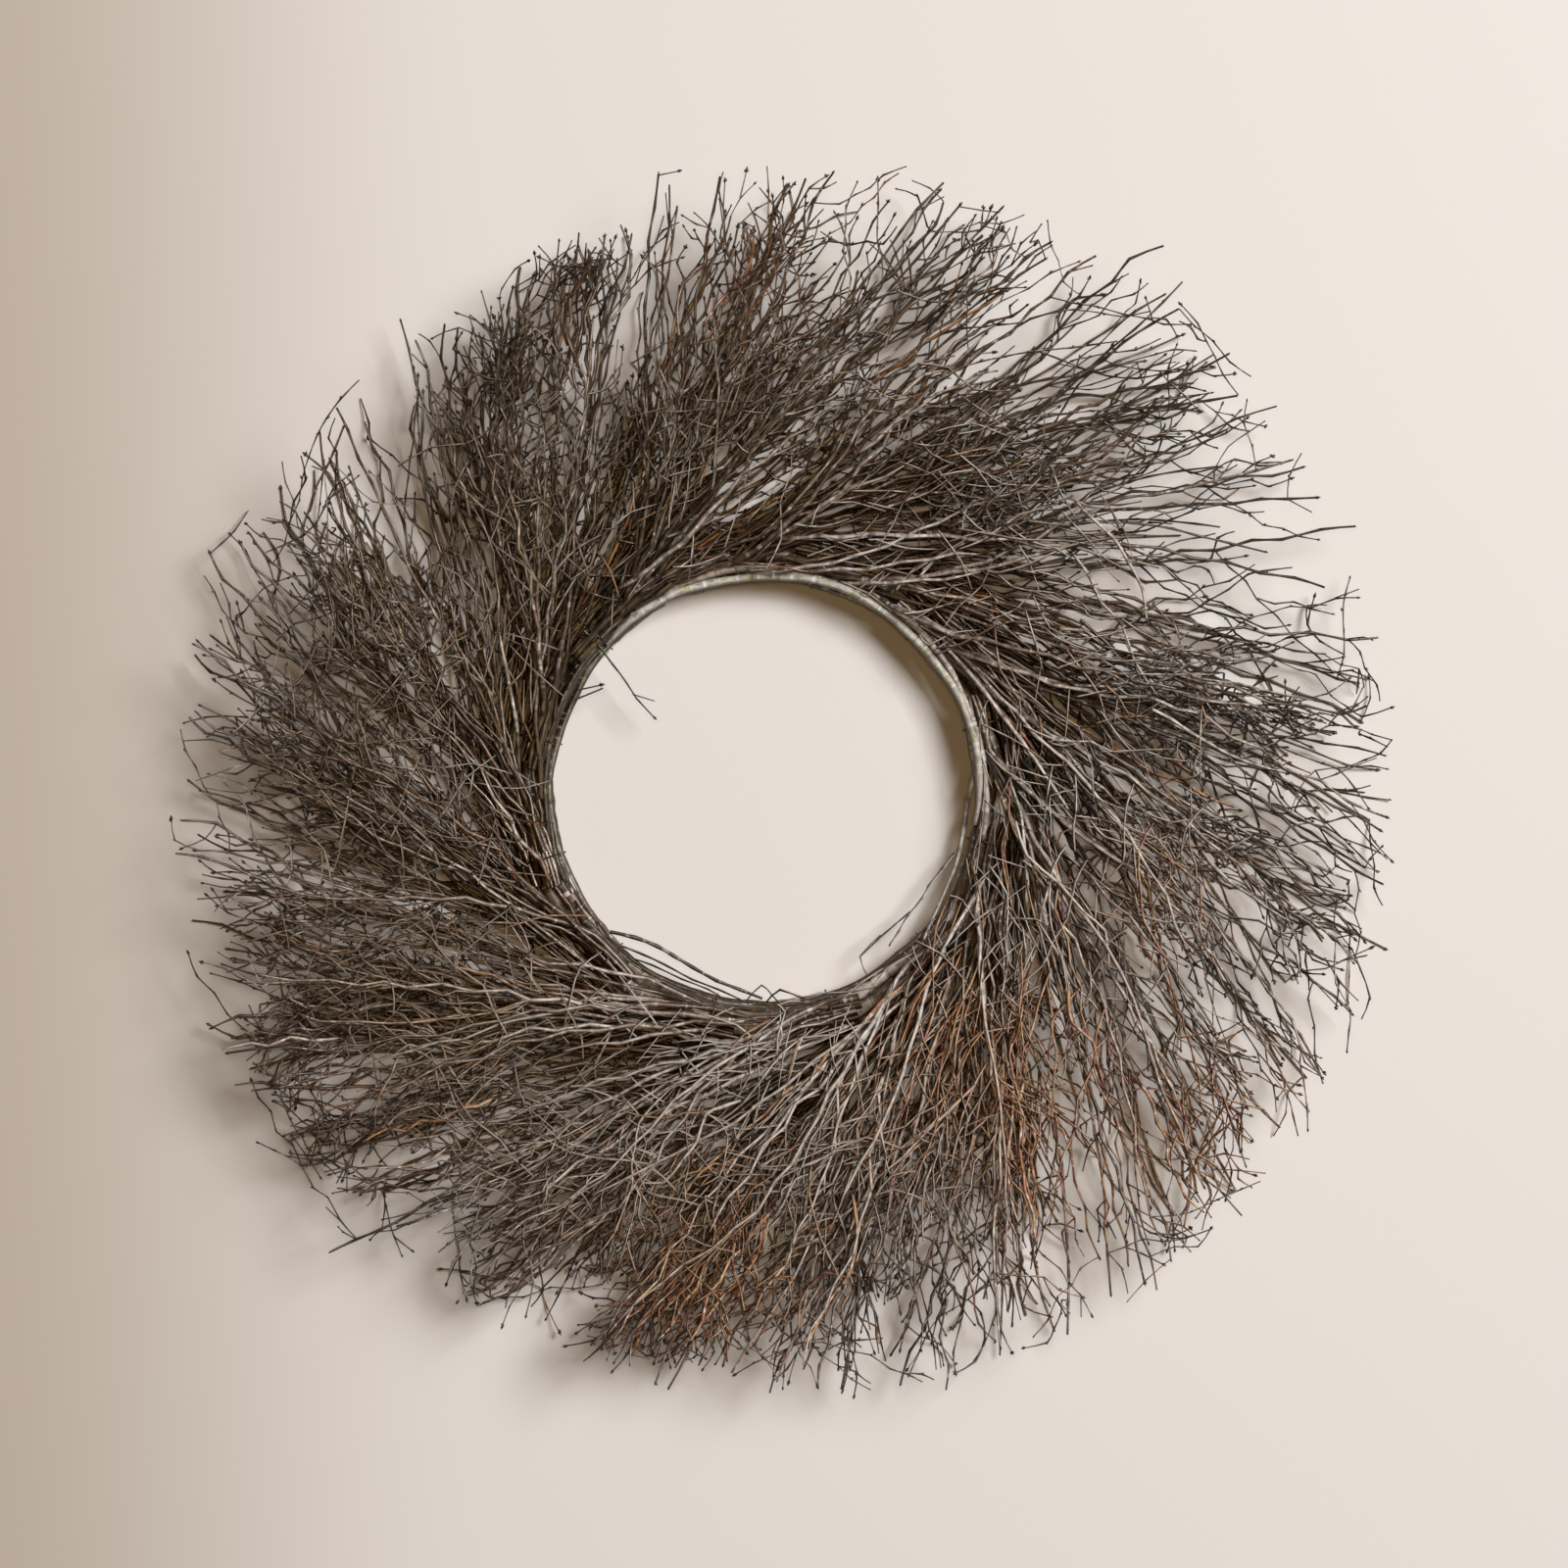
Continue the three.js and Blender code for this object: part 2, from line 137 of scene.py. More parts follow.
class Layer:
    """One of the three layers of sprays, with the seat of its bundles on the hoop."""

    def __init__(self, index, name, seat_angle, seat_distance, butt, floor, ceiling):
        self.index = index
        self.name = name
        self.butt = butt
        self.floor = floor
        self.ceiling = ceiling
        self.radius = HOOP_RADIUS + seat_distance * math.cos(math.radians(seat_angle))
        self.seat_height = HOOP_HEIGHT + seat_distance * math.sin(math.radians(seat_angle))


LAYERS = [
    Layer(0, "back", -11, 13.2, 9, (1.2, 1.2), (12, 27)),
    Layer(1, "middle", 36, 11.3, 12, (12, 27), (23.6, 50)),
    Layer(2, "front", 90, 13.3, 15, (23.6, 50), (36, 74)),
]
print("hoop centre:", [round(v, 5) for v in HOOP_CENTRE], "hoop radius:", round(HOOP_RADIUS, 2), "mm")

# %% [markdown]
# ## The rule that grows a leader
#
# Every twig follows a straight line that touches the hoop's circle, so neighbours fan out and never
# cross in their own layer. A point is given by the angle at which its line touches the circle and by
# the distance along the line. `kept` moves a point back into the space that a spray has to itself.

# %% Seeded draws and the lines of growth


def dice(seed):
    modulus = 2147483647
    state = (seed * 7919) % modulus

    def draw():
        nonlocal state
        state = (state * 16807) % modulus
        return state / modulus

    draw()
    return draw


def lerp(low, high, share):
    return low + (high - low) * share


def between(draw, limits):
    return lerp(limits[0], limits[1], draw())


def clamp(value, low, high):
    return max(low, min(high, value))


def smoothstep(value, low, high):
    share = clamp((value - low) / (high - low), 0, 1)
    return share * share * (3 - 2 * share)


def turned(vector, axis, angle):
    return Matrix.Rotation(angle, 3, axis) @ vector


def on_tangent(radius, azimuth, distance, height=0.0):
    x = radius * math.cos(azimuth) + distance * math.sin(azimuth)
    y = radius * math.sin(azimuth) - distance * math.cos(azimuth)
    return Vector((x, y, height))


def layer_heights(layer, radius):
    outward = max(0, (radius - LAYER_INNER_RADIUS) / (TIP_CIRCLE_RADIUS - LAYER_INNER_RADIUS))
    return lerp(*layer.floor, outward), lerp(*layer.ceiling, outward)


def height_in(layer, p, lift):
    """The height over a point: lift is 0 on the floor of its layer and 1 at the ceiling."""
    return lerp(*layer_heights(layer, p.xy.length), lift)


class Spray:
    """A spray's place: its layer, its seat on the hoop, its borders and how far its tips go."""

    def __init__(self, layer, station, borders):
        self.name = f"{layer.name}_spray_{station + 1:02d}"
        self.layer = layer
        self.station = station
        self.draw = dice(SEED + 1000 * (layer.index + 1) + station)
        self.seat = FIRST_STATION - STATION_ANGLE * station
        self.edges = (borders[station - 1] - STATION_ANGLE, borders[station])
        self.fullness = STATION_REACH[station] - REACH_JITTER * self.draw()

    def reach(self, lead):
        azimuth = self.seat - lead
        foot = on_tangent(self.layer.radius, azimuth, 0).xy - TIP_CIRCLE_CENTRE
        middle = foot.x * math.sin(azimuth) - foot.y * math.cos(azimuth)
        limit = TIP_CIRCLE_RADIUS * self.fullness
        return math.sqrt(middle * middle - foot.length_squared + limit * limit) - middle

    def leader_point(self, lead, lift, distance):
        layer = self.layer
        ahead = lead * smoothstep(distance, 0, SPREAD_LENGTH)
        beyond = distance - layer.radius * ahead
        p = on_tangent(layer.radius, self.seat - ahead, max(beyond, 0))
        risen = smoothstep(distance, 0, RISE_LENGTH)
        p.z = lerp(layer.seat_height, height_in(layer, p, lift), risen)
        return p

    def kept(self, p, radius, slack=0.0):
        layer = self.layer
        distance = math.sqrt(max(p.xy.length_squared - layer.radius**2, 1))
        turn = self.seat - math.atan2(p.y, p.x) - math.atan2(distance, layer.radius)
        lead = turn - 2 * math.pi * round(turn / (2 * math.pi))
        margin = (radius + EDGE_GAP) / distance - slack
        lead = clamp(lead, self.edges[0] + margin, self.edges[1] - margin)
        q = on_tangent(layer.radius, self.seat - lead, min(distance, self.reach(lead)), p.z)
        floor, ceiling = layer_heights(layer, q.xy.length)
        q.z = clamp(q.z, floor + radius + EDGE_GAP, ceiling - radius - EDGE_GAP)
        return q


def all_sprays():
    sprays = []
    for layer in LAYERS:
        draw = dice(SEED + 100 * (layer.index + 1))
        middle = STATION_ANGLE / 2 - LAYER_STAGGER * (layer.index + EDGE_LEAD)
        borders = [middle + EDGE_JITTER * (2 * draw() - 1) for _ in range(STATIONS)]
        sprays += [Spray(layer, station, borders) for station in range(STATIONS)]
    return sprays


def leader_lines(spray, across, draw, slack=0.0):
    """The guide points of one leader, and the (root, tip) of each of its side twigs."""
    layer = spray.layer
    lead = lerp(*spray.edges, across)
    swing = ((int(across * LEADERS) + layer.index) % 2) * 2 - 1
    lift = 0.5 + LIFT_SWING * swing * lerp(LIFT_EVENNESS, 1, draw())
    length = layer.radius * lead + spray.reach(lead)
    points = []
    distance = LEADER_START
    while distance < length - LEADER_STEP / 3:
        wander = LEADER_WANDER if distance > SPREAD_LENGTH else 0
        shift = Vector((draw() - 0.5, draw() - 0.5, draw() - 0.5)) * wander
        points.append(spray.leader_point(lead, lift, distance) + shift)
        distance += LEADER_STEP
    points.append(spray.leader_point(lead, lift, length))
    last = len(points) - 1
    radii = [lerp(LEADER_RADIUS, LEADER_END_RADIUS, k / (last - 1)) for k in range(last + 1)]
    points = [
        p if k < 2 else spray.kept(p, radii[k] if k < last else 0, slack) for k, p in enumerate(points)
    ]
    sides = []
    side = -1 if draw() < 0.5 else 1
    for k in range(1, last):
        span = points[k + 1] - points[k]
        for share in FORK_SHARES:
            along = span.normalized()
            axis = turned(Vector((0, 0, 1)), along, FORK_ROLL * (2 * draw() - 1))
            heading = turned(along, axis, side * between(draw, FORK_ANGLE))
            root = points[k].lerp(points[k + 1], share)
            tip = spray.kept(root + heading * between(draw, SIDE_TWIG_LENGTH), POINT_ROOM, slack)
            sides.append((root, tip))
            side = -side
    return points, sides


SPRAYS = all_sprays()
print(len(SPRAYS), "sprays, the first reaching", round(SPRAYS[0].reach(0), 1), "mm from its seat")

# %% [markdown]
# ## Growing a natural twig
#
# A real shoot isn't straight: it turns a little at each node, to one side and then the other, it
# swells there, and a bud or a side shoot sits in the bend. A curve with noise would wave instead of
# kink. So each guide line is cut into internodes of uneven length, and each node is pushed aside by
# turns. Shoots at the nodes fork again, and the last ones end in a bud.

# %% Collect the twigs of a piece
FINEST_RADIUS = 0.52
KNOT_SWELL = 1.4
MIDDLE_BULGE = 0.05  # how far the bark between two nodes bows outward, so that no bend is sharp
MIDDLE_GIRTH = 0.94  # its thickness, as a share of that of the nodes
BUD_AGE = -0.4
SLENDER = (0.75, 1.1)  # mm: only slender twigs take part in a reddish bunch
POINT_NUMBERS = (
    "thickness", "girth", "age", "umber", "knot", "shade", "warmth", "green", "along", "bud_size"
)


class Twigs:
    """Points, edges and point attributes of many twigs, which Geometry Nodes skin later."""

    def __init__(self):
        self.points = []
        self.edges = []
        self.values = {name: [] for name in POINT_NUMBERS}
        self.headings = []

    def point(self, p, heading=(0, 0, 1), **numbers):
        self.points.append(HOOP_CENTRE + p * MM)
        self.headings.append(heading)
        for name, values in self.values.items():
            values.append(numbers.get(name, 0.0))

    def twig(self, nodes, look, swell=KNOT_SWELL):
        """Adds a smooth twig through its nodes, with a knot at each and slimmer between two."""
        start = len(self.points)
        along = 0.0
        girth = nodes[0][1]
        last = len(nodes) - 1
        for k, (p, radius) in enumerate(nodes):
            if k:
                before, thick = nodes[k - 1]
                outer = nodes[max(k - 2, 0)][0] + nodes[min(k + 1, last)][0]
                middle = (0.5 + MIDDLE_BULGE) * (before + p) - MIDDLE_BULGE * outer
                along += (p - before).length / 2
                self.ring(middle, MIDDLE_GIRTH * (thick + radius) / 2, 0.0, along, girth, look)
                along += (p - before).length / 2
            knotted = swell if 0 < k < last else 1
            self.ring(p, radius * knotted, look.get("knot", 1.0), along, girth, look)
        self.edges += [(k, k + 1) for k in range(start, len(self.points) - 1)]

    def ring(self, p, radius, knot, along, girth, look):
        slender = 1 - smoothstep(radius, *SLENDER)
        warmth = look.get("warmth", 0) + slender * redness(p) * lerp(0.1, 1.5, look["shade"])
        self.point(
            p,
            thickness=radius * MM,
            girth=girth * MM,
            # the age also carries the painted shade of twigs deep in the wreath
            age=age_and_depth_shade_of(p, radius) + look.get("age", 0),
            umber=umber_of(p),
            knot=knot,
            shade=look["shade"],
            warmth=min(1, warmth),
            green=look.get("green", 0),
            along=along,
        )

    def loop(self, points, radius):
        """Adds a closed turn of wire."""
        start = len(self.points)
        for p in points:
            self.point(p, thickness=radius * MM, girth=radius * MM)
        last = len(self.points) - 1
        self.edges += [(k, k + 1) for k in range(start, last)] + [(last, start)]

    def bud(self, p, size, heading, look):
        """Adds a loose point, on which the skin sets a dark bud."""
        self.point(p, heading, bud_size=size * MM, age=BUD_AGE, knot=1.0, shade=look["shade"])

    def mesh(self, name):
        mesh = bpy.data.meshes.new(name)
        mesh.from_pydata(self.points, self.edges, [])
        for key, values in self.values.items():
            mesh.attributes.new(key, "FLOAT", "POINT").data.foreach_set("value", values)
        flat = [v for heading in self.headings for v in heading]
        mesh.attributes.new("heading", "FLOAT_VECTOR", "POINT").data.foreach_set("vector", flat)
        return mesh


# %% [markdown]
# ## How the twigs differ from place to place
#
# The real wreath was bound from shoots of several ages. The twigs on the lower right are paler, those
# on the left are browner and some bunches are reddish. Twigs deep inside are darkened as painted shade,
# and deep on the left a brown painted shadow lies on them. A picture laid over the wreath would paint
# through it. A few smooth rules of place give each twig its age, colour and painted shade instead, at
# any depth.

# %% Age and colour change from place to place


def places(*rows):
    """Rows of x, y, spread in mm and share, as (place, spread, share)."""
    return [(Vector((x, y)), spread, share) for x, y, spread, share in rows]


# Twigs are paler towards this side, and at the top and the bottom.
PALE_SIDE = math.radians(-55)
# Where whole bunches are reddish, how far that spreads and how strong it is.
WARM_PLACES = places(
    (152, -180, 48, 1.0), (-26, -238, 44, 0.9), (234, -166, 40, 0.9), (112, -125, 36, 0.6),
    (186, -56, 34, 0.5), (-8, 250, 44, 0.25), (60, -160, 30, 0.4), (110, 60, 50, 0.15),
    (-170, -120, 60, 0.2),
)
WARM_ANYWHERE = 0.015
BROWN_SIDE = math.radians(167)
GREEN_PLACE = Vector((-98, 135))
GREEN_SPREAD = 90


def near(p, place, spread):
    return math.exp(-(((p.xy - place).length / spread) ** 2))


def age_and_depth_shade_of(p, radius):
    """0 on this year's dark shoots and on deep twigs in painted shade, 1 on old silvery wood by the hoop.

    Stout wood and wood near the hoop is older. The lower right, the top and the bottom are paler too,
    and what lies deep is darker as painted shade, the more so the nearer it is to the hoop.
    """
    distance = p.xy.length
    wood = smoothstep(radius, FINEST_RADIUS, 1.5)
    inward = 1 - smoothstep(distance, 180, 285)
    azimuth = math.atan2(p.y, p.x)
    side = 0.235 * math.cos(azimuth - PALE_SIDE) + 0.12 * math.sin(azimuth) ** 2
    depth_shade = lerp(0.45, 1.1, 1 - smoothstep(distance, 140, 220))
    # painted shade: twigs that lie deep are darker, most of all near the hoop
    return 0.11 + 0.06 * wood + 0.42 * inward + side - depth_shade * depth_of(p)


def depth_of(p):
    """0 at the top of the wreath, 1 on twigs that lie deep in it."""
    return 1 - smoothstep(p.z / layer_heights(LAYERS[2], p.xy.length)[1], 0.5, 0.98)


def umber_of(p):
    """How much brown painted shadow lies on the left, most of all deep down."""
    leftness = 0.55 + 0.45 * math.cos(math.atan2(p.y, p.x) - BROWN_SIDE)
    distance = p.xy.length
    share = lerp(0.7, 1, depth_of(p)) * leftness
    return share * smoothstep(distance, 115, 180) * (1 - smoothstep(distance, 225, 265))


def brownness(p):
    """The plain twigs are browner on the left."""
    return 0.2 + 0.2 * math.cos(math.atan2(p.y, p.x) - BROWN_SIDE)


def redness(p):
    """Whole sprays are reddish in some places."""
    return sum(share * near(p, place, spread) for place, spread, share in WARM_PLACES)


def look_of(p, radius, draw):
    """The shade, warmth and greenness of a twig, drawn by where its middle lies."""
    warm = draw() < WARM_ANYWHERE + 0.8 * redness(p) and radius < 1.05
    return {
        "shade": draw(),
        "warmth": lerp(0.7, 1, draw()) if warm else brownness(p) * draw(),
        "green": (0.12 + 0.8 * near(p, GREEN_PLACE, GREEN_SPREAD)) * draw(),
    }


# %% Cut a guide line into internodes


def perpendicular(along, turn):
    side = along.cross(Vector((0, 0, 1)))
    side = side.normalized() if side.length > 1e-4 else Vector((1, 0, 0))
    return turned(side, along, turn)


SMOOTH_STEPS = 12


def smooth_line(points):
    """Close points on a smooth line through a short row of guide points."""
    if len(points) == 2:
        return [points[0].lerp(points[1], k / SMOOTH_STEPS) for k in range(SMOOTH_STEPS + 1)]
    ends = [2 * points[0] - points[1], *points, 2 * points[-1] - points[-2]]
    out = []
    for a, b, c, d in zip(ends, ends[1:], ends[2:], ends[3:]):
        for k in range(SMOOTH_STEPS):
            t = k / SMOOTH_STEPS
            bend = (2 * a - 5 * b + 4 * c - d) * t**2 + (3 * b - a - 3 * c + d) * t**3
            out.append(0.5 * (2 * b + (c - a) * t + bend))
    return out + [points[-1]]


def spread_value(values, share):
    at = share * (len(values) - 1)
    low = min(int(at), len(values) - 2)
    return lerp(values[low], values[low + 1], at - low)


WANDER = 0.06  # how far a twig's heading strays at each node
SUPPLE = (0.7, 1.4)  # mm: thinner twigs bend freely and thicker ones hardly
STIFFEST = 0.3


def grown(points, radii, draw, internode, kink, bow=0.0):
    """The nodes of a twig along guide points, root first, as (point, radius).

    Each node is pushed aside by turns, which gives the kinks. The heading strays a little further
    at each, and the whole twig bows and sways between its ends.
    """
    path = smooth_line(points)
    lengths = [0.0]
    for a, b in zip(path, path[1:]):
        lengths.append(lengths[-1] + (b - a).length)
    total = lengths[-1]
    roll = 2 * math.pi * draw()
    bow_turn = 2 * math.pi * draw()
    stops = [0.0]
    while stops[-1] < total - 0.6 * internode[0]:
        stops.append(stops[-1] + between(draw, internode))
    nodes = []
    index = 0
    heading, drift = Vector(), Vector()
    for stop in stops:
        s = stop * total / stops[-1]
        while index + 2 < len(lengths) and lengths[index + 1] < s:
            index += 1
        step = max(lengths[index + 1] - lengths[index], 1e-6)
        p = path[index].lerp(path[index + 1], clamp((s - lengths[index]) / step, 0, 1))
        along = (path[index + 1] - path[index]).normalized()
        radius = spread_value(radii, s / total)
        supple = lerp(1, STIFFEST, smoothstep(radius, *SUPPLE))
        roll += math.pi + 0.9 * (draw() - 0.5)
        push = kink * supple * (0.35 + draw()) if stop else 0
        sag = bow * total * math.sin(math.pi * s / total)
        sway = 0.5 * bow * total * math.sin(2 * math.pi * s / total)
        heading += perpendicular(along, 2 * math.pi * draw()) * (WANDER * supple)
        drift += heading * (total / len(stops))
        p = p + drift + perpendicular(along, roll) * push
        p = p + perpendicular(along, bow_turn) * sag + perpendicular(along, bow_turn + 1.4) * sway
        nodes.append((p, radius))
    return nodes


# %% Let shoots fork from the nodes


class Habit:
    """How the twigs of one order grow."""

    def __init__(self, internode, kink, bow, fork=0.0, angle=(0, 0), share=(0, 0)):
        self.internode = internode  # mm between two nodes
        self.kink = kink  # mm to the side at each node
        self.bow = bow  # as a share of the length
        self.fork = fork  # the chance of a shoot at a node
        self.angle = angle  # degrees off the twig that it leaves
        self.share = share  # of what is left of that twig


HABITS = (
    Habit((11, 19), 1.6, 0.03, 0.6, (18, 44), (0.25, 0.55)),
    Habit((8, 14), 1.5, 0.1, 0.55, (20, 50), (0.35, 0.8)),
    Habit((7, 12), 1.2, 0.22, 0.42, (24, 58), (0.3, 0.75)),
    Habit((6, 10), 0.9, 0.28),
)
BUD_SIZE = (0.95, 1.8)
TIP_BUD_CHANCE = 0.6
BUD_CHANCE = 0.7
TIP_PAIR_CHANCE = 0.3
PAIRED_BUD = 0.7  # the size of one of a pair, as a share
SIDE_BUD = 0.75
THICKEST_BUDDED = 1.25
TIP_TAPER = 0.75
SHORTEST_SHOOT = 9
LONGEST_TIP_SHOOT = 62
SHOOT_BASE = 8
SHOOT_GIRTH = (0.65, 0.9)  # as a share of the twig that it leaves
THICKEST_SHOOT = 0.9
SHOOT_REACH = (0.6, 1.03)  # as a share of its room, up to the circle of the tips
SHOOT_ROLL = math.radians(70)
FORKS_FROM = (118, 205)  # mm from the hoop's centre: the stems are bare nearer to it

# Where the real wreath is thin, so that the surface shows through, and where it is full: a place, how
# far that spreads and how much thinner or fuller it is. They were set against the photo.
THIN_PLACES = places(
    (-194, 164, 36, 0.95), (-241, 106, 32, 0.9), (-160, 153, 28, 0.95), (-268, -22, 24, 0.9),
    (207, -178, 20, 0.5), (146, -138, 18, 0.6), (-265, -80, 20, 0.6), (-266, 40, 22, 0.8),
    (220, 26, 22, 0.5), (-163, -189, 24, 0.6), (-98, 222, 20, 0.7), (133, 101, 24, 0.5),
    (85, 202, 22, 0.5), (102, -190, 24, 0.3), (180, -52, 26, 0.5), (130, -60, 26, 0.4),
    (-256, -98, 24, 0.7), (269, 23, 20, 0.3), (155, 208, 20, 0.6), (-130, 226, 22, 0.5),
    (-282, 20, 28, 0.7), (116, 200, 24, 0.5), (54, 222, 20, 0.6), (237, -99, 26, 0.6),
    (-158, -197, 26, 0.6), (-48, 229, 34, 1.0), (104, 200, 36, 0.7), (145, 188, 32, 0.7),
    (166, 142, 34, 0.8), (212, 105, 38, 0.85), (168, 98, 32, 0.8), (178, 5, 26, 0.85),
    (252, -26, 28, 0.8), (177, -100, 36, 0.95), (162, -190, 34, 0.9), (-176, -207, 24, 0.8),
    (-106, -240, 24, 0.6), (8, -268, 28, 0.7),
)
FULL_PLACES = places(
    (-254, -130, 24, 0.8), (-246, -58, 22, 1.1), (-226, -105, 22, 0.8), (-208, 92, 22, 0.8),
    (-217, 122, 20, 0.8), (-246, 66, 20, 0.4), (120, 221, 18, 1.0), (-75, 276, 16, 0.7),
    (24, 241, 20, 0.4), (165, 68, 18, 0.7), (-196, -176, 24, 1.2), (-142, -230, 22, 1.4),
    (-72, -263, 24, 1.0), (-38, -260, 22, 0.8), (-89, 248, 24, 1.3), (-10, 258, 22, 1.3),
    (170, 168, 20, 0.8), (-240, 12, 22, 1.0), (-69, -206, 24, 0.8), (56, -243, 18, 0.6),
    (116, 138, 22, 0.7), (-108, 145, 24, 0.5), (140, -214, 20, 0.8), (218, -145, 22, 0.9),
    (182, -140, 18, 0.4), (202, 188, 18, 0.4), (103, 264, 18, 0.8), (-146, 197, 26, 1.4),
    (10, -250, 24, 1.2), (268, -62, 22, 1.2), (247, 34, 22, 0.9), (233, 67, 20, 0.4),
    (215, -198, 20, 0.5),
)
FULLNESS = (0.88, 0.33)  # near the hoop and at the rim
THINS_OUT = (160, 258)  # mm from the middle of the tips
TUFT_STEMS = 2
TUFT_LENGTH = (40, 80)
TUFT_RADII = (0.95, 0.75, 0.6)


def fullness_at(p):
    """The share of shoots that grow at a place: fewer towards the rim and in the thin places."""
    out = (p.xy - TIP_CIRCLE_CENTRE).length
    share = lerp(*FULLNESS, smoothstep(out, *THINS_OUT))
    for place, spread, full in FULL_PLACES:
        share += full * near(p, place, spread)
    for place, spread, thin in THIN_PLACES:
        share *= 1 - thin * near(p, place, spread)
    return share


LOWEST = 1.0
HIGHEST = cad_box[1][2] / MM - 1.7  # the room of a knot and its bud
HOLE_EDGE = 104.6
RIM_EDGE = 108.2  # where the pale stems of the inner rim lie bare
RIM_AZIMUTHS = (math.radians(-16), math.radians(138))
BOX_MARGIN = 3.0
CEILING_SLACK = 3.0


def inside(spray, p):
    """Keeps a point over the surface and inside the wreath's outline and height."""
    q = p.copy()
    bare = RIM_AZIMUTHS[0] < math.atan2(p.y, p.x) < RIM_AZIMUTHS[1]
    edge = RIM_EDGE if bare else HOLE_EDGE
    if q.xy.length < edge:
        q.xy *= edge / q.xy.length
    ceiling = layer_heights(spray.layer, p.xy.length)[1] + CEILING_SLACK
    q.z = clamp(q.z, LOWEST, min(ceiling, HIGHEST))
    return q


def in_box(p):
    """The same point, or the nearest one inside the box of the solids."""
    q = p.copy()
    for axis in range(2):
        low = (cad_box[0][axis] - HOOP_CENTRE[axis]) / MM + BOX_MARGIN
        high = (cad_box[1][axis] - HOOP_CENTRE[axis]) / MM - BOX_MARGIN
        q[axis] = clamp(q[axis], low, high)
    return q


def trimmed(nodes):
    """Ends a twig at the first node that would leave the box of the solids."""
    for k, (p, radius) in enumerate(nodes):
        if in_box(p) != p:
            return nodes[:k] if k > 1 else [nodes[0], (in_box(nodes[1][0]), nodes[1][1])]
    return nodes


def room(spray, p, heading):
    """How far a shoot may grow from a point before it leaves the circle of the tips."""
    flat = heading.xy
    if flat.length < 0.2:
        return 0
    flat.normalize()
    off = p.xy - TIP_CIRCLE_CENTRE
    limit = TIP_CIRCLE_RADIUS * spray.fullness
    middle = off.dot(flat)
    return -middle + math.sqrt(max(middle**2 - off.length_squared + limit**2, 0))


def settled(spray, nodes, tied=0):
    """Keeps a twig in the wreath, apart from its first nodes, which are tied or rooted."""
    return trimmed([(p if k < tied else inside(spray, p), r) for k, (p, r) in enumerate(nodes)])


def add_budded(twigs, nodes, draw, look, swell=KNOT_SWELL):
    """Adds a twig with a bud at the tip, and at some tips a pair of smaller ones just below it."""
    twigs.twig(nodes, look, swell)
    tip = nodes[-1][0]
    heading = (tip - nodes[-2][0]).normalized()
    size = between(draw, BUD_SIZE)
    if draw() > TIP_BUD_CHANCE:
        return
    twigs.bud(tip + heading * 0.5 * size, size, heading, look)
    if draw() < TIP_PAIR_CHANCE:
        turn = 2 * math.pi * draw()
        for side in (0, math.pi):
            out = (heading + perpendicular(heading, turn + side)).normalized()
            small = PAIRED_BUD * between(draw, BUD_SIZE)
            twigs.bud(tip - heading * 1.2 * draw() + out * 0.8 * small, small, out, look)


def grow(twigs, spray, points, radii, order, draw):
    """Adds a twig and the shoots that fork from it."""
    habit = HABITS[order]
    bow = habit.bow * (draw() + draw() - 1) * 2
    nodes = grown(points, radii, draw, habit.internode, habit.kink, bow)
    nodes = settled(spray, nodes, 1)
    nodes[-1] = (nodes[-1][0], TIP_TAPER * nodes[-1][1])
    look = look_of(nodes[len(nodes) // 2][0], radii[0], draw)
    add_budded(twigs, nodes, draw, look)
    sprout(twigs, spray, nodes, order, draw, look)


def sprout(twigs, spray, nodes, order, draw, look):
    """Lets shoots and buds grow from the nodes of a twig, to its two sides by turns."""
    habit = HABITS[order]
    tip = nodes[-1][0]
    side = 1 if draw() < 0.5 else -1
    for (p, radius), (q, _) in zip(nodes[1:], nodes[2:]):
        along = (q - p).normalized()
        axis = turned(Vector((0, 0, 1)), along, SHOOT_ROLL * (2 * draw() - 1))
        out = turned(along, axis, side * math.radians(between(draw, habit.angle)))
        length = (tip - p).length * between(draw, habit.share) + SHOOT_BASE
        chance = habit.fork * fullness_at(p)
        if order == 0:
            length = min(length, LONGEST_TIP_SHOOT)
            chance *= smoothstep(p.xy.length, *FORKS_FROM)
        length = min(length, room(spray, p, out) * between(draw, SHOOT_REACH))
        if draw() < chance and length > SHORTEST_SHOOT:
            bend = p + out * 0.5 * length
            child = [p, bend, bend + (out + along * 0.9 * draw()).normalized() * 0.5 * length]
            thin = clamp(between(draw, SHOOT_GIRTH) * radius, FINEST_RADIUS, THICKEST_SHOOT)
            grow(twigs, spray, child, [thin, FINEST_RADIUS], order + 1, draw)
        elif radius < THICKEST_BUDDED and draw() < BUD_CHANCE:
            small = SIDE_BUD * between(draw, BUD_SIZE)
            twigs.bud(p + out * (0.5 * radius + 0.4 * small), small, out, look)
        side = -side


# %% [markdown]
# ## Writing node trees
#
# Both the skin and the bark are node trees. A small class wraps a socket, so that arithmetic on it
# adds Math nodes, and one function adds any other node. A tree is then read like a formula.

# %% A socket that arithmetic works on


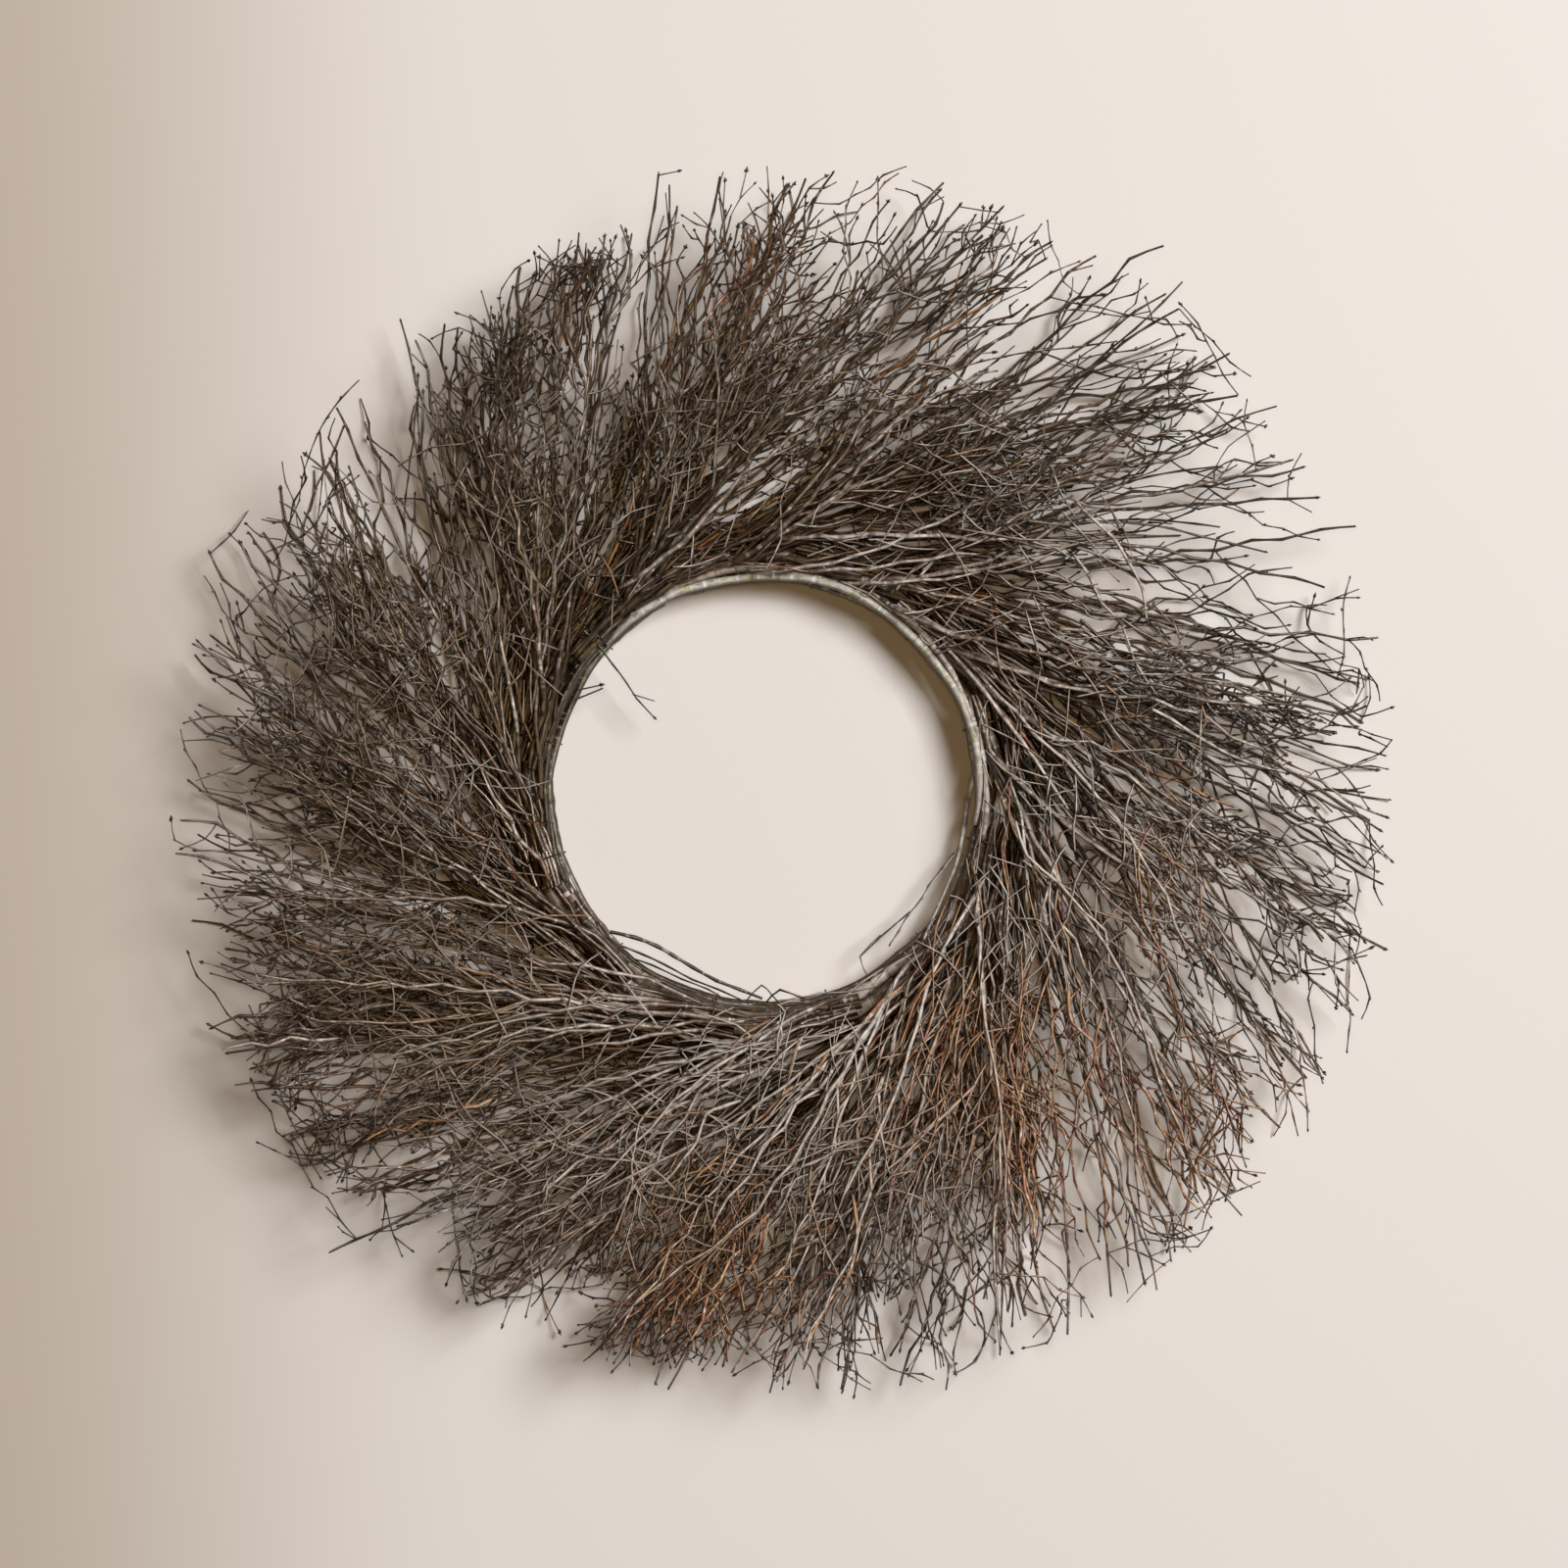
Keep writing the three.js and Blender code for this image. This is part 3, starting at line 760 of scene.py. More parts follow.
class Flow:
    """An output socket of a node tree. + - * ** and > add Math nodes to the tree."""

    def __init__(self, tree, socket):
        self.tree = tree
        self.socket = socket

    def node(self, kind, inputs=None, output=0, **settings):
        return add_node(self.tree, kind, inputs, output, **settings)

    def math(self, operation, *values):
        return self.node("ShaderNodeMath", dict(enumerate(values)), operation=operation)

    def __add__(self, other):
        return self.math("ADD", self, other)

    __radd__ = __add__

    def __mul__(self, other):
        return self.math("MULTIPLY", self, other)

    __rmul__ = __mul__

    def __sub__(self, other):
        return self.math("SUBTRACT", self, other)

    def __rsub__(self, other):
        return self.math("SUBTRACT", other, self)

    def __gt__(self, other):
        return self.math("GREATER_THAN", self, other)

    def __pow__(self, other):
        return self.math("POWER", self, other)

    def ramp(self, low, high):
        """0 below low, 1 above high and a smooth rise between them."""
        inputs = {"Value": self, "From Min": low, "From Max": high}
        return self.node("ShaderNodeMapRange", inputs, interpolation_type="SMOOTHSTEP")


def find_socket(sockets, key):
    if isinstance(key, int):
        return sockets[key]
    for socket in sockets:
        if socket.identifier == key:
            return socket
    return sockets[key]


def add_node(tree, kind, inputs=None, output=0, **settings):
    """Adds a node, sets its settings and then its sockets, and returns one of its outputs."""
    node = tree.nodes.new(kind)
    for key, value in settings.items():
        setattr(node, key, value)
    for key, value in (inputs or {}).items():
        socket = find_socket(node.inputs, key)
        if isinstance(value, Flow):
            tree.links.new(value.socket, socket)
        elif value is not None:
            socket.default_value = value
    return Flow(tree, find_socket(node.outputs, output)) if node.outputs else None


def vector_math(tree, operation, a, b):
    return add_node(tree, "ShaderNodeVectorMath", {0: a, 1: b}, operation=operation)


def noise(tree, place, scale, detail, **more):
    inputs = {"Vector": place, "Scale": scale, "Detail": detail, **more}
    return add_node(tree, "ShaderNodeTexNoise", inputs)


# %% [markdown]
# ## A skin for twigs
#
# A piece is first only points, edges and a few numbers at each point. A twig could be swept by a
# curve with a bevel, but then every copy would need its own curve object. One Geometry Nodes tree
# skins them all: stout stems get more sides than thin twigs, buds are placed on the loose points,
# and the bark is roughened along the stem where it is stout enough to show it.

# %% The tree that skins a piece
BUD_SHAPE = (0.54, 0.54, 1.1)  # across, across and along, as shares of its size
OVER_FLOOR = (-9.0, -9.0, 0.0001)  # the lowest place of a point in metres, free to the sides


def skin_tree():
    tree = bpy.data.node_groups.new("Twig skin", "GeometryNodeTree")
    face = tree.interface
    face.new_socket("Geometry", in_out="OUTPUT", socket_type="NodeSocketGeometry")
    face.new_socket("Geometry", in_out="INPUT", socket_type="NodeSocketGeometry")
    sizes = (
        ("Twig sides", "NodeSocketInt", 3),
        ("Shoot sides", "NodeSocketInt", 5),
        ("Stem sides", "NodeSocketInt", 18),
        ("Shoot from", "NodeSocketFloat", 0.0008),
        ("Stem from", "NodeSocketFloat", 0.0028),
        ("Bark relief", "NodeSocketFloat", 0.16),
        ("Bud sides", "NodeSocketInt", 5),
    )
    for name, kind, value in sizes:
        face.new_socket(name, in_out="INPUT", socket_type=kind).default_value = value
    face.new_socket("Bark", in_out="INPUT", socket_type="NodeSocketMaterial")
    given = tree.nodes.new("NodeGroupInput")

    def size(name):
        return Flow(tree, given.outputs[name])

    def add(kind, inputs=None, output=0, **settings):
        return add_node(tree, f"GeometryNode{kind}", inputs, output, **settings)

    def number(name, kind="FLOAT"):
        return add("InputNamedAttribute", {"Name": name}, data_type=kind)

    def stored(geometry, name, value, kind):
        inputs = {"Geometry": geometry, "Name": name, "Value": value}
        return add("StoreNamedAttribute", inputs, data_type=kind, domain="POINT")

    def split(geometry, selection):
        """The points that are selected, and the others."""
        node = tree.nodes.new("GeometryNodeSeparateGeometry")
        tree.links.new(geometry.socket, node.inputs["Geometry"])
        tree.links.new(selection.socket, node.inputs["Selection"])
        return Flow(tree, node.outputs["Selection"]), Flow(tree, node.outputs["Inverted"])

    def skin(lines, sides):
        """Sweeps a ring along the lines, and stores where each point lies across its twig."""
        curve = add("MeshToCurve", {"Mesh": lines})
        ring = add("CurvePrimitiveCircle", {"Resolution": sides, "Radius": 1.0})
        ring = stored(ring, "across", add("InputPosition"), "FLOAT_VECTOR")
        sweep = {"Curve": curve, "Profile Curve": ring, "Scale": number("thickness"), "Fill Caps": True}
        return add("CurveToMesh", sweep)

    buds, lines = split(size("Geometry"), number("bud_size") > 0.0)
    girth = number("girth")
    stems, lines = split(lines, girth > size("Stem from"))
    shoots, twigs = split(lines, girth > size("Shoot from"))
    skins = [skin(stems, size("Stem sides")), skin(shoots, size("Shoot sides"))]

    def rough(mesh, amount):
        """Ridges that run along the stem, as in old bark."""
        around = vector_math(tree, "MULTIPLY", number("across", "FLOAT_VECTOR"), (2.6, 2.6, 2.6))
        along = number("along") * 0.09 + number("shade") * 50.0
        along = add_node(tree, "ShaderNodeCombineXYZ", {"Z": along})
        ridges = noise(tree, vector_math(tree, "ADD", around, along), 1.0, 3.0)
        push = {0: add("InputNormal"), "Scale": (ridges - 0.5) * amount * number("thickness")}
        push = add_node(tree, "ShaderNodeVectorMath", push, operation="SCALE")
        return add("SetPosition", {"Geometry": mesh, "Offset": push})

    skins = [rough(mesh, size("Bark relief") * 2.0) for mesh in skins]
    skins.append(skin(twigs, size("Twig sides")))

    ball = add("MeshUVSphere", {"Segments": size("Bud sides"), "Rings": 2, "Radius": 1.0})
    ball = add("Transform", {"Geometry": ball, "Scale": BUD_SHAPE})
    turn = {"Vector": number("heading", "FLOAT_VECTOR")}
    turn = add_node(tree, "FunctionNodeAlignRotationToVector", turn, axis="Z")
    placed = {"Points": buds, "Instance": ball, "Rotation": turn, "Scale": number("bud_size")}
    skins.append(add("InstanceOnPoints", placed))

    join = tree.nodes.new("GeometryNodeJoinGeometry")
    for mesh in reversed(skins):
        tree.links.new(mesh.socket, join.inputs[0])
    whole = add("RealizeInstances", {"Geometry": Flow(tree, join.outputs[0])})
    raised = vector_math(tree, "MAXIMUM", add("InputPosition"), OVER_FLOOR)
    whole = add("SetPosition", {"Geometry": whole, "Position": raised})
    whole = add("SetShadeSmooth", {"Geometry": whole, "Shade Smooth": True})
    upward = add_node(tree, "ShaderNodeSeparateXYZ", {"Vector": add("InputNormal")}, "Z")
    whole = stored(whole, "upward", upward, "FLOAT")
    whole = add("SetMaterial", {"Geometry": whole, "Material": size("Bark")})
    out = tree.nodes.new("NodeGroupOutput")
    tree.links.new(whole.socket, out.inputs[0])
    return tree


TWIG_SKIN = skin_tree()
print("skin tree:", len(TWIG_SKIN.nodes), "nodes")


# %% Turn a piece's points into a mesh of its own


def skinned(name, twigs, material, **sizes):
    """Skins the twigs, keeps the result as a plain mesh and returns its object."""
    piece = bpy.data.objects.new(name, twigs.mesh(name))
    bpy.context.scene.collection.objects.link(piece)
    skin = piece.modifiers.new("Skin", "NODES")
    skin.node_group = TWIG_SKIN
    values = {**sizes, "Bark": material}
    for item in TWIG_SKIN.interface.items_tree:
        if item.in_out == "INPUT" and item.name in values:
            skin[item.identifier] = values[item.name]
    depsgraph = bpy.context.evaluated_depsgraph_get()
    mesh = bpy.data.meshes.new_from_object(
        piece.evaluated_get(depsgraph), preserve_all_data_layers=True, depsgraph=depsgraph
    )
    piece.modifiers.remove(skin)
    lines = piece.data
    piece.data = mesh
    bpy.data.meshes.remove(lines)
    mesh.name = name
    return piece


def triangles(piece):
    return sum(len(face.vertices) - 2 for face in piece.data.polygons)


# %% [markdown]
# ## Bark
#
# This year's shoots are nearly black-brown. The bark greys with age, so the stems by the hoop are a
# light silvery taupe, streaked along the grain and darker at each knot. Pale dashes on the upper side
# are painted highlights, and the sides and undersides are darkened as painted shade. Some twigs are
# red-brown or golden, and deep on the left a brown painted shadow lies on them. An image texture could
# hold all of this, but it would have seams on thousands of thin twigs. Numbers stored at the points,
# such as age and warmth, drive one material instead, which lays one colour over the other.

# %% The bark material


def rgb(red, green, blue):
    """A colour as seen on a screen, 0 to 255, in the linear light that Blender works in."""

    def linear(value):
        value /= 255
        return value / 12.92 if value <= 0.04045 else ((value + 0.055) / 1.055) ** 2.4

    return (linear(red), linear(green), linear(blue), 1.0)


def mixed(tree, factor, a, b):
    inputs = {"Factor_Float": factor, "A_Color": a, "B_Color": b}
    return add_node(tree, "ShaderNodeMix", inputs, "Result_Color", data_type="RGBA")


BARK_AGES = (
    (0.0, rgb(44, 31, 21)),
    (0.2, rgb(105, 82, 67)),
    (0.5, rgb(182, 164, 150)),
    (1.0, rgb(230, 220, 209)),
)
RED_BARK = rgb(190, 88, 58)
GOLDEN_BARK = rgb(232, 173, 90)
MOSS = rgb(116, 116, 90)
LICHEN = rgb(176, 176, 122)
FURROW = rgb(52, 42, 35)
FLECK = rgb(220, 209, 198)
# the pale painted highlight dashes on the upper side of the twigs
HIGHLIGHT_DASH = rgb(236, 225, 214)
# the brown painted shadow on deep twigs on the left, dark and pale
DARK_SHADOW_UMBER = rgb(67, 46, 22)
PALE_SHADOW_UMBER = rgb(152, 123, 84)
GAP = rgb(32, 23, 16)
KNOT = rgb(38, 29, 24)
# painted shade on the sides and undersides of the twigs
UNDERSIDE_SHADE = rgb(36, 25, 16)


def new_material(name):
    material = bpy.data.materials.new(name)
    material.use_nodes = True
    material.node_tree.nodes.clear()
    return material, material.node_tree


def add_surface(tree, **inputs):
    """The shader that ends a material. An underscore stands for a space in a socket's name."""
    inputs = {name.replace("_", " "): value for name, value in inputs.items()}
    shader = add_node(tree, "ShaderNodeBsdfPrincipled", inputs, "BSDF")
    add_node(tree, "ShaderNodeOutputMaterial", {"Surface": shader})


def bark_material(name):
    material, tree = new_material(name)

    def number(key):
        return add_node(tree, "ShaderNodeAttribute", None, "Fac", attribute_name=key)

    age, shade, warmth, knot = number("age"), number("shade"), number("warmth"), number("knot")
    green, upward = number("green"), number("upward")

    # Noises that run along each twig: fine streaks, patches and short dashes.
    across = add_node(tree, "ShaderNodeAttribute", None, "Vector", attribute_name="across")
    along = add_node(tree, "ShaderNodeCombineXYZ", {"Z": number("along") * 0.11 + shade * 40.0})
    place = vector_math(tree, "ADD", across, along)
    streaks = noise(tree, place, 2.2, 4.0, Roughness=0.6)
    patches = noise(tree, place, 0.7, 2.0)
    row = add_node(tree, "ShaderNodeCombineXYZ", {"X": shade * 53.0, "Z": number("along") * 0.3})
    dashes = noise(tree, row, 1.0, 2.0)

    # The plain colour by age, which also holds the painted shade of deep twigs, and differs from twig to
    # twig and along each twig.
    seen_age = age + (patches - 0.5) * 0.8 + (shade - 0.5) * 0.95
    ramp = tree.nodes.new("ShaderNodeValToRGB")
    ramp.color_ramp.elements.remove(ramp.color_ramp.elements[0])
    ramp.color_ramp.elements[0].position = BARK_AGES[0][0]
    ramp.color_ramp.elements[0].color = BARK_AGES[0][1]
    for position, colour in BARK_AGES[1:]:
        ramp.color_ramp.elements.new(position).color = colour
    tree.links.new(seen_age.socket, ramp.inputs["Fac"])
    colour = Flow(tree, ramp.outputs["Color"])

    # What lies over it, from the lowest to the topmost: warm twigs, moss and lichen, streaks, painted
    # highlight dashes on the upper side, brown painted shadow, dark dashes between the highlights, knots
    # and painted shade on the undersides.
    warm = mixed(tree, patches.ramp(0.35, 0.65), RED_BARK, GOLDEN_BARK)
    # a brown painted shadow, deep on the left
    umber = mixed(tree, shade, DARK_SHADOW_UMBER, PALE_SHADOW_UMBER)
    ground = add_node(tree, "ShaderNodeTexCoord", None, "Object")
    spots = noise(tree, ground, 160.0, 2.0)
    # painted highlights: pale dashes on upper sides, strongest on dark young twigs
    highlight_strength = (0.6 + 0.9 * shade) * (0.95 - 0.4 * age) * (1.0 - 0.6 * knot) * age.ramp(-0.2, 0.35)
    coats = (
        (warmth * 0.9, warm),
        (green * 0.6, MOSS),
        (spots.ramp(0.56, 0.64) * green.ramp(0.3, 0.9), LICHEN),
        ((1.0 - streaks.ramp(0.36, 0.52)) * (0.7 - 0.3 * age), FURROW),
        (streaks.ramp(0.54, 0.7) * (0.2 + 0.35 * age), FLECK),
        (dashes.ramp(0.55, 0.62) * upward.ramp(0.1, 0.7) * highlight_strength, HIGHLIGHT_DASH),
        (number("umber") * (0.75 - 0.5 * green), umber),
        ((1.0 - dashes.ramp(0.36, 0.44)) * (0.6 - 0.3 * age), GAP),
        (knot**3.0 * (0.8 - 0.25 * age), KNOT),
        # painted shade on the sides of each twig that face down
        ((1.0 - upward.ramp(0.0, 0.92)) * (0.88 - 0.25 * age), UNDERSIDE_SHADE),
    )
    for mask, coat in coats:
        colour = mixed(tree, mask, colour, coat)

    relief = {"Strength": 0.5, "Distance": 0.0003, "Height": streaks}
    bump = add_node(tree, "ShaderNodeBump", relief, "Normal")
    add_surface(
        tree,
        Base_Color=colour,
        Roughness=0.36 + 0.22 * age,
        Specular_IOR_Level=0.9,
        Specular_Tint=(1.0, 0.87, 0.72, 1.0),
        Normal=bump,
    )
    return material


TWIG_BARK = bark_material("twig bark")
print("material:", TWIG_BARK.name, len(TWIG_BARK.node_tree.nodes), "nodes")

# %% [markdown]
# ## The sprays
#
# A spray is a handful of shrub stems with their butts tied to the hoop. Its solid has three
# leaders with side twigs. The grown one has the same three in the same places, and a few slimmer
# stems beside them to fill the gaps, since the real bunch is too dense to carve as a solid. More
# thin stems start on the hoop between two bundles, and a tuft or two ends in each full place. All
# of them could be copies of one twig, but bare twigs show it at once when two of them are alike.

# %% Grow a spray's stems from its bundle
BUNDLE_ROOM = 2.6
TIED_NODES = 3
STEM_RADII = (1.7, 1.3, 1.02, 0.84, 0.74, 0.66, 0.6)
STEM_SHADES = (0.1, 0.8)
SHORTEST_LEADER = 0.7  # of its last span
SIDE_GIRTH = 0.75  # as a share of the stem
SIDE_REACH = (0.7, 1.03)  # as a share of its guide line, where that ends in the outer ring
OUTER_RING = (240, 290)  # mm from the middle of the tips
EXTRA_STEMS = 5
EXTRA_GIRTH = 0.8
EXTRA_SLACK = math.radians(4)
EXTRA_SIDE_TWIGS = 0.6
EXTRA_CHANCE = 2.1  # times the fullness near the tip


def bundle_point(spray, distance, offset=(0, 0)):
    p = on_tangent(spray.layer.radius, spray.seat, distance, spray.layer.seat_height)
    outward = Vector((math.cos(spray.seat), math.sin(spray.seat), 0))
    return p + outward * offset[0] + Vector((0, 0, offset[1]))


def add_stem(twigs, spray, points, sides, offset, draw, keep_side=1.0, pull=1.0, slim=1.0):
    """A stem from its butt in the bundle to its tip, with the side twigs of its guide lines."""
    brown = 0.5 * brownness(points[0]) * draw()
    green = 0.7 * draw() * near(points[0], GREEN_PLACE, 1.5 * GREEN_SPREAD)
    shade = between(draw, STEM_SHADES) * (1.2 - 1.5 * brownness(points[0]))
    look = {"shade": shade, "warmth": brown, "green": green}
    start = [bundle_point(spray, d, offset) for d in (-spray.layer.butt, 0, 10)]
    first = points[0] + Vector((0, 0, 0.6 * offset[1]))
    guide = [*start, first, *points[1:-1], points[-2].lerp(points[-1], pull)]
    habit = HABITS[0]
    bow = habit.bow * (2 * draw() - 1)
    radii = [slim * radius for radius in STEM_RADII]
    nodes = grown(guide, radii, draw, habit.internode, habit.kink, bow)
    nodes = settled(spray, nodes, TIED_NODES)
    add_budded(twigs, nodes, draw, look)
    sprout(twigs, spray, nodes, 0, draw, look)
    for root, end in sides:
        if draw() > keep_side * lerp(0.05, 1, fullness_at(end)):
            continue
        node, radius = min(nodes, key=lambda n: (n[0] - root).length_squared)
        outer = smoothstep((end.xy - TIP_CIRCLE_CENTRE).length, *OUTER_RING)
        end = node.lerp(end, lerp(1, between(draw, SIDE_REACH), outer))
        girth = min(1.0, SIDE_GIRTH * radius)
        grow(twigs, spray, [node, end], [girth, 0.8 * girth, FINEST_RADIUS], 1, draw)


# %% Fill in beside the bundles
COLLAR_STEMS = {"back": 10, "middle": 10, "front": 9}
COLLAR_RADIUS = {"back": (124, 132), "middle": (121, 131), "front": (109, 128)}
COLLAR_HEIGHT = {"back": (2.5, 10), "middle": (11, 19), "front": (19, 27)}
COLLAR_LENGTH = (60, 210)
COLLAR_GIRTH = (0.65, 1.2)
COLLAR_GUIDES = 4


def add_collar_stem(twigs, spray, draw):
    """A stem that starts on the hoop between two bundles and fills the gap between their stems."""
    layer = spray.layer
    radius = between(draw, COLLAR_RADIUS[layer.name])
    azimuth = spray.seat + STATION_ANGLE * (draw() - 0.45)
    height = between(draw, COLLAR_HEIGHT[layer.name])
    length = between(draw, COLLAR_LENGTH)
    lift = draw()
    drift = 0.18 * (draw() - 0.3)
    points = []
    for k in range(COLLAR_GUIDES):
        s = length * k / (COLLAR_GUIDES - 1)
        p = on_tangent(radius, azimuth + drift * s / length, s)
        p.z = lerp(height, height_in(layer, p, lift), smoothstep(s, 0, RISE_LENGTH))
        points.append(p)
    girth = between(draw, COLLAR_GIRTH)
    if draw() < math.sqrt(fullness_at(points[-1])):
        grow(twigs, spray, points, [girth, 0.9 * girth, 0.65], 0, draw)


def add_tuft(twigs, spray, place, spread, count, draw):
    """Stems that end round a full place, if it lies between the borders of this spray."""
    radius = spray.layer.radius

    def line_through(p):
        distance = math.sqrt(p.length_squared - radius**2)
        return math.atan2(p.y, p.x) + math.atan2(distance, radius), distance

    lead = (spray.seat - line_through(place)[0]) % (2 * math.pi)
    if not spray.edges[0] < (lead if lead < math.pi else lead - 2 * math.pi) < spray.edges[1]:
        return
    for _ in range(count):
        turn, away = 2 * math.pi * draw(), spread * math.sqrt(draw())
        azimuth, distance = line_through(place + away * Vector((math.cos(turn), math.sin(turn))))
        length = between(draw, TUFT_LENGTH)
        lift = draw()
        points = []
        for share in (1, 0.5, 0):
            p = on_tangent(radius, azimuth, distance - share * length)
            p.z = height_in(spray.layer, p, lift)
            points.append(p)
        grow(twigs, spray, points, TUFT_RADII, 1, draw)


def grow_spray(spray):
    twigs = Twigs()
    own = dice(SEED + 9000 + 100 * spray.layer.index + spray.station)
    turn = 2 * math.pi * own()
    count = LEADERS + EXTRA_STEMS
    spots = [turn + 2 * math.pi * k / count for k in range(count)]
    spots = [(BUNDLE_ROOM * math.cos(a), BUNDLE_ROOM * math.sin(a)) for a in spots]
    # The leaders take every other spot in the bundle, and the slimmer stems take those left.
    own_spots = spots[: 2 * LEADERS : 2]
    free_spots = spots[1 : 2 * LEADERS : 2] + spots[2 * LEADERS :]
    for index in range(LEADERS):
        across = (index + 0.5) / LEADERS + LEADER_JITTER * (spray.draw() - 0.5)
        points, sides = leader_lines(spray, across, spray.draw)
        pull = lerp(SHORTEST_LEADER, 1, own())
        add_stem(twigs, spray, points, sides, own_spots[index], own, pull=pull)
    for index in range(EXTRA_STEMS):
        across = (index + 0.5 + 0.8 * (own() - 0.5)) / EXTRA_STEMS
        points, sides = leader_lines(spray, across, own, EXTRA_SLACK)
        if own() > EXTRA_CHANCE * fullness_at(points[-2]):
            continue
        spot = free_spots[index]
        add_stem(twigs, spray, points, sides, spot, own, EXTRA_SIDE_TWIGS, own(), EXTRA_GIRTH)
    for _ in range(COLLAR_STEMS[spray.layer.name]):
        add_collar_stem(twigs, spray, own)
    for place, spread, full in FULL_PLACES:
        add_tuft(twigs, spray, place, spread, round(TUFT_STEMS * full), own)
    return twigs


# %% Replace each solid spray with its grown one
total = 0
for spray in SPRAYS:
    piece = skinned(f"grown_{spray.name}", grow_spray(spray), TWIG_BARK)
    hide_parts(spray.name)
    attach(piece, "root")
    total += triangles(piece)
print(len(SPRAYS), "sprays,", total, "triangles")

# %% [markdown]
# ## The hoop
#
# Three bent stems of old wood are twisted together, four turns round the hoop. Two long supple stems
# run along the inner edge, over the twist, where the photo shows them pale and bare. Thinner ones
# follow on the left and at the bottom. They could be bevelled curves, but the twig skin already
# gives knots and ridges, and the stems then share its bark.

# %% Stems of the hoop
HOOP_NODE = 10
HOOP_WOOD_RADIUS = 4.1
RIM_NODE = 11
RIM_ENDS = (0.08, 0.9)  # where the ends of a rim stem begin, as shares of its length
RIM_DIP = 3  # how far they dip in among the twigs
FAINT_KNOT = 0.45
OLD_WOOD_SWELL = 1.04
RIM_SWELL = 1.03
SHOOT_SWELL = 1.35
# Each runs clockwise: azimuths in degrees, distance and height in mm, radius in mm, green, age.
RIM_STEMS = (
    ((137, -9), 106.3, 24.4, 2.3, 0.7, 0.95),
    ((218, 118), 105.0, 17.0, 1.5, 0.75, 0.7),
    ((132, -20), 109.2, 25.0, 1.9, 0.4, 0.75),
    ((208, 132), 107.6, 18.6, 1.2, 0.65, 0.6),
    ((196, 98), 108.6, 20.0, 1.3, 0.6, 0.6),
    ((-38, -142), 105.2, 16.6, 1.4, 0.1, 0.2),
    ((-62, -150), 107.4, 18.4, 1.2, 0.1, 0.3),
    ((-8, -66), 106.6, 18.0, 1.5, 0.2, 0.7),
)


def polar(azimuth, distance, height):
    return Vector((distance * math.cos(azimuth), distance * math.sin(azimuth), height))


def hoop_twist(stem, azimuth):
    return HOOP_TWISTS * (azimuth - FIRST_STATION) + math.pi / 2 + 2 * math.pi * stem / HOOP_STEMS


def hoop_path(stem, azimuth):
    twist = hoop_twist(stem, azimuth)
    distance = HOOP_RADIUS + HOOP_TWIST_RADIUS * math.cos(twist)
    return polar(azimuth, distance, HOOP_HEIGHT + HOOP_TWIST_RADIUS * math.sin(twist))


def add_hoop_stem(twigs, stem, draw):
    start = FIRST_STATION + HOOP_STEM_LEAD * HOOP_SPAN + 2 * math.pi * stem / HOOP_STEMS
    count = round(HOOP_SPAN * HOOP_RADIUS / HOOP_NODE)
    nodes = []
    for k in range(count + 1):
        p = hoop_path(stem, start - HOOP_SPAN * k / count)
        nodes.append((p, HOOP_WOOD_RADIUS * lerp(0.93, 1, draw())))
    look = {"shade": draw(), "age": 0.8, "green": 0.3 * draw(), "knot": FAINT_KNOT}
    twigs.twig(nodes, look, OLD_WOOD_SWELL)


def add_rim_stem(twigs, azimuths, distance, height, radius, green, age, draw):
    first, last = (math.radians(a) for a in azimuths)
    count = round(abs(first - last) * distance / RIM_NODE)
    nodes = []
    for k in range(count + 1):
        share = k / count
        ends = smoothstep(share, 0, RIM_ENDS[0]) * (1 - smoothstep(share, RIM_ENDS[1], 1))
        azimuth = lerp(first, last, share)
        shift = 0.8 * (draw() - 0.5) + 0.7 * math.sin(7 * azimuth + distance)
        p = polar(azimuth, distance + shift, height + shift - RIM_DIP * (1 - ends))
        uneven = lerp(0.88, 1.06, draw())
        nodes.append((p, radius * lerp(0.5, 1, ends) * uneven))
    look = {"shade": draw(), "age": age, "green": green, "knot": FAINT_KNOT}
    twigs.twig(nodes, look, RIM_SWELL)


def add_shoot(twigs, draw):
    """The forked shoot that bows into the hole."""
    route = [polar(math.radians(turn), distance, height) for turn, distance, height in SHOOT_ROUTE]
    look = {"shade": 0.6, "age": 1.2, "green": 0.5}
    ends = [SHOOT_RADIUS, SHOOT_RADIUS * (1 - SHOOT_TAPER)]
    nodes = grown(route, ends, draw, internode=(9, 14), kink=0.3)
    twigs.twig(nodes, look, SHOOT_SWELL)
    turn, distance, height = SHOOT_FORK_TIP
    tip = polar(math.radians(turn), distance, height)
    radius = SHOOT_FORK_SHARE * SHOOT_RADIUS
    nodes = grown([route[2], tip], [radius, 0.8 * radius], draw, internode=(7, 12), kink=0.5)
    add_budded(twigs, nodes, draw, look, SHOOT_SWELL)


for stem in range(HOOP_STEMS):
    draw = dice(SEED + 500 + stem)
    twigs = Twigs()
    add_hoop_stem(twigs, stem, draw)
    for rim in RIM_STEMS[stem::HOOP_STEMS]:
        add_rim_stem(twigs, *rim, draw)
    if stem == 0:
        add_shoot(twigs, draw)
    piece = skinned(f"bent_stem_{stem + 1}", twigs, TWIG_BARK, **{"Bark relief": 0.26})
    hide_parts(f"hoop_stem_{stem + 1}")
    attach(piece, "root")
    print(piece.name, triangles(piece), "triangles")

# %% [markdown]
# ## Binding wire
#
# Each station is bound by a closed turn of dull wire, pulled tight round the hoop and its three
# bundles. The wire is placed by the lines that touch all of them from outside, as in the solid, but
# in many short steps, so that it bends round them.

# %% Ties
TIE_STEPS = 40


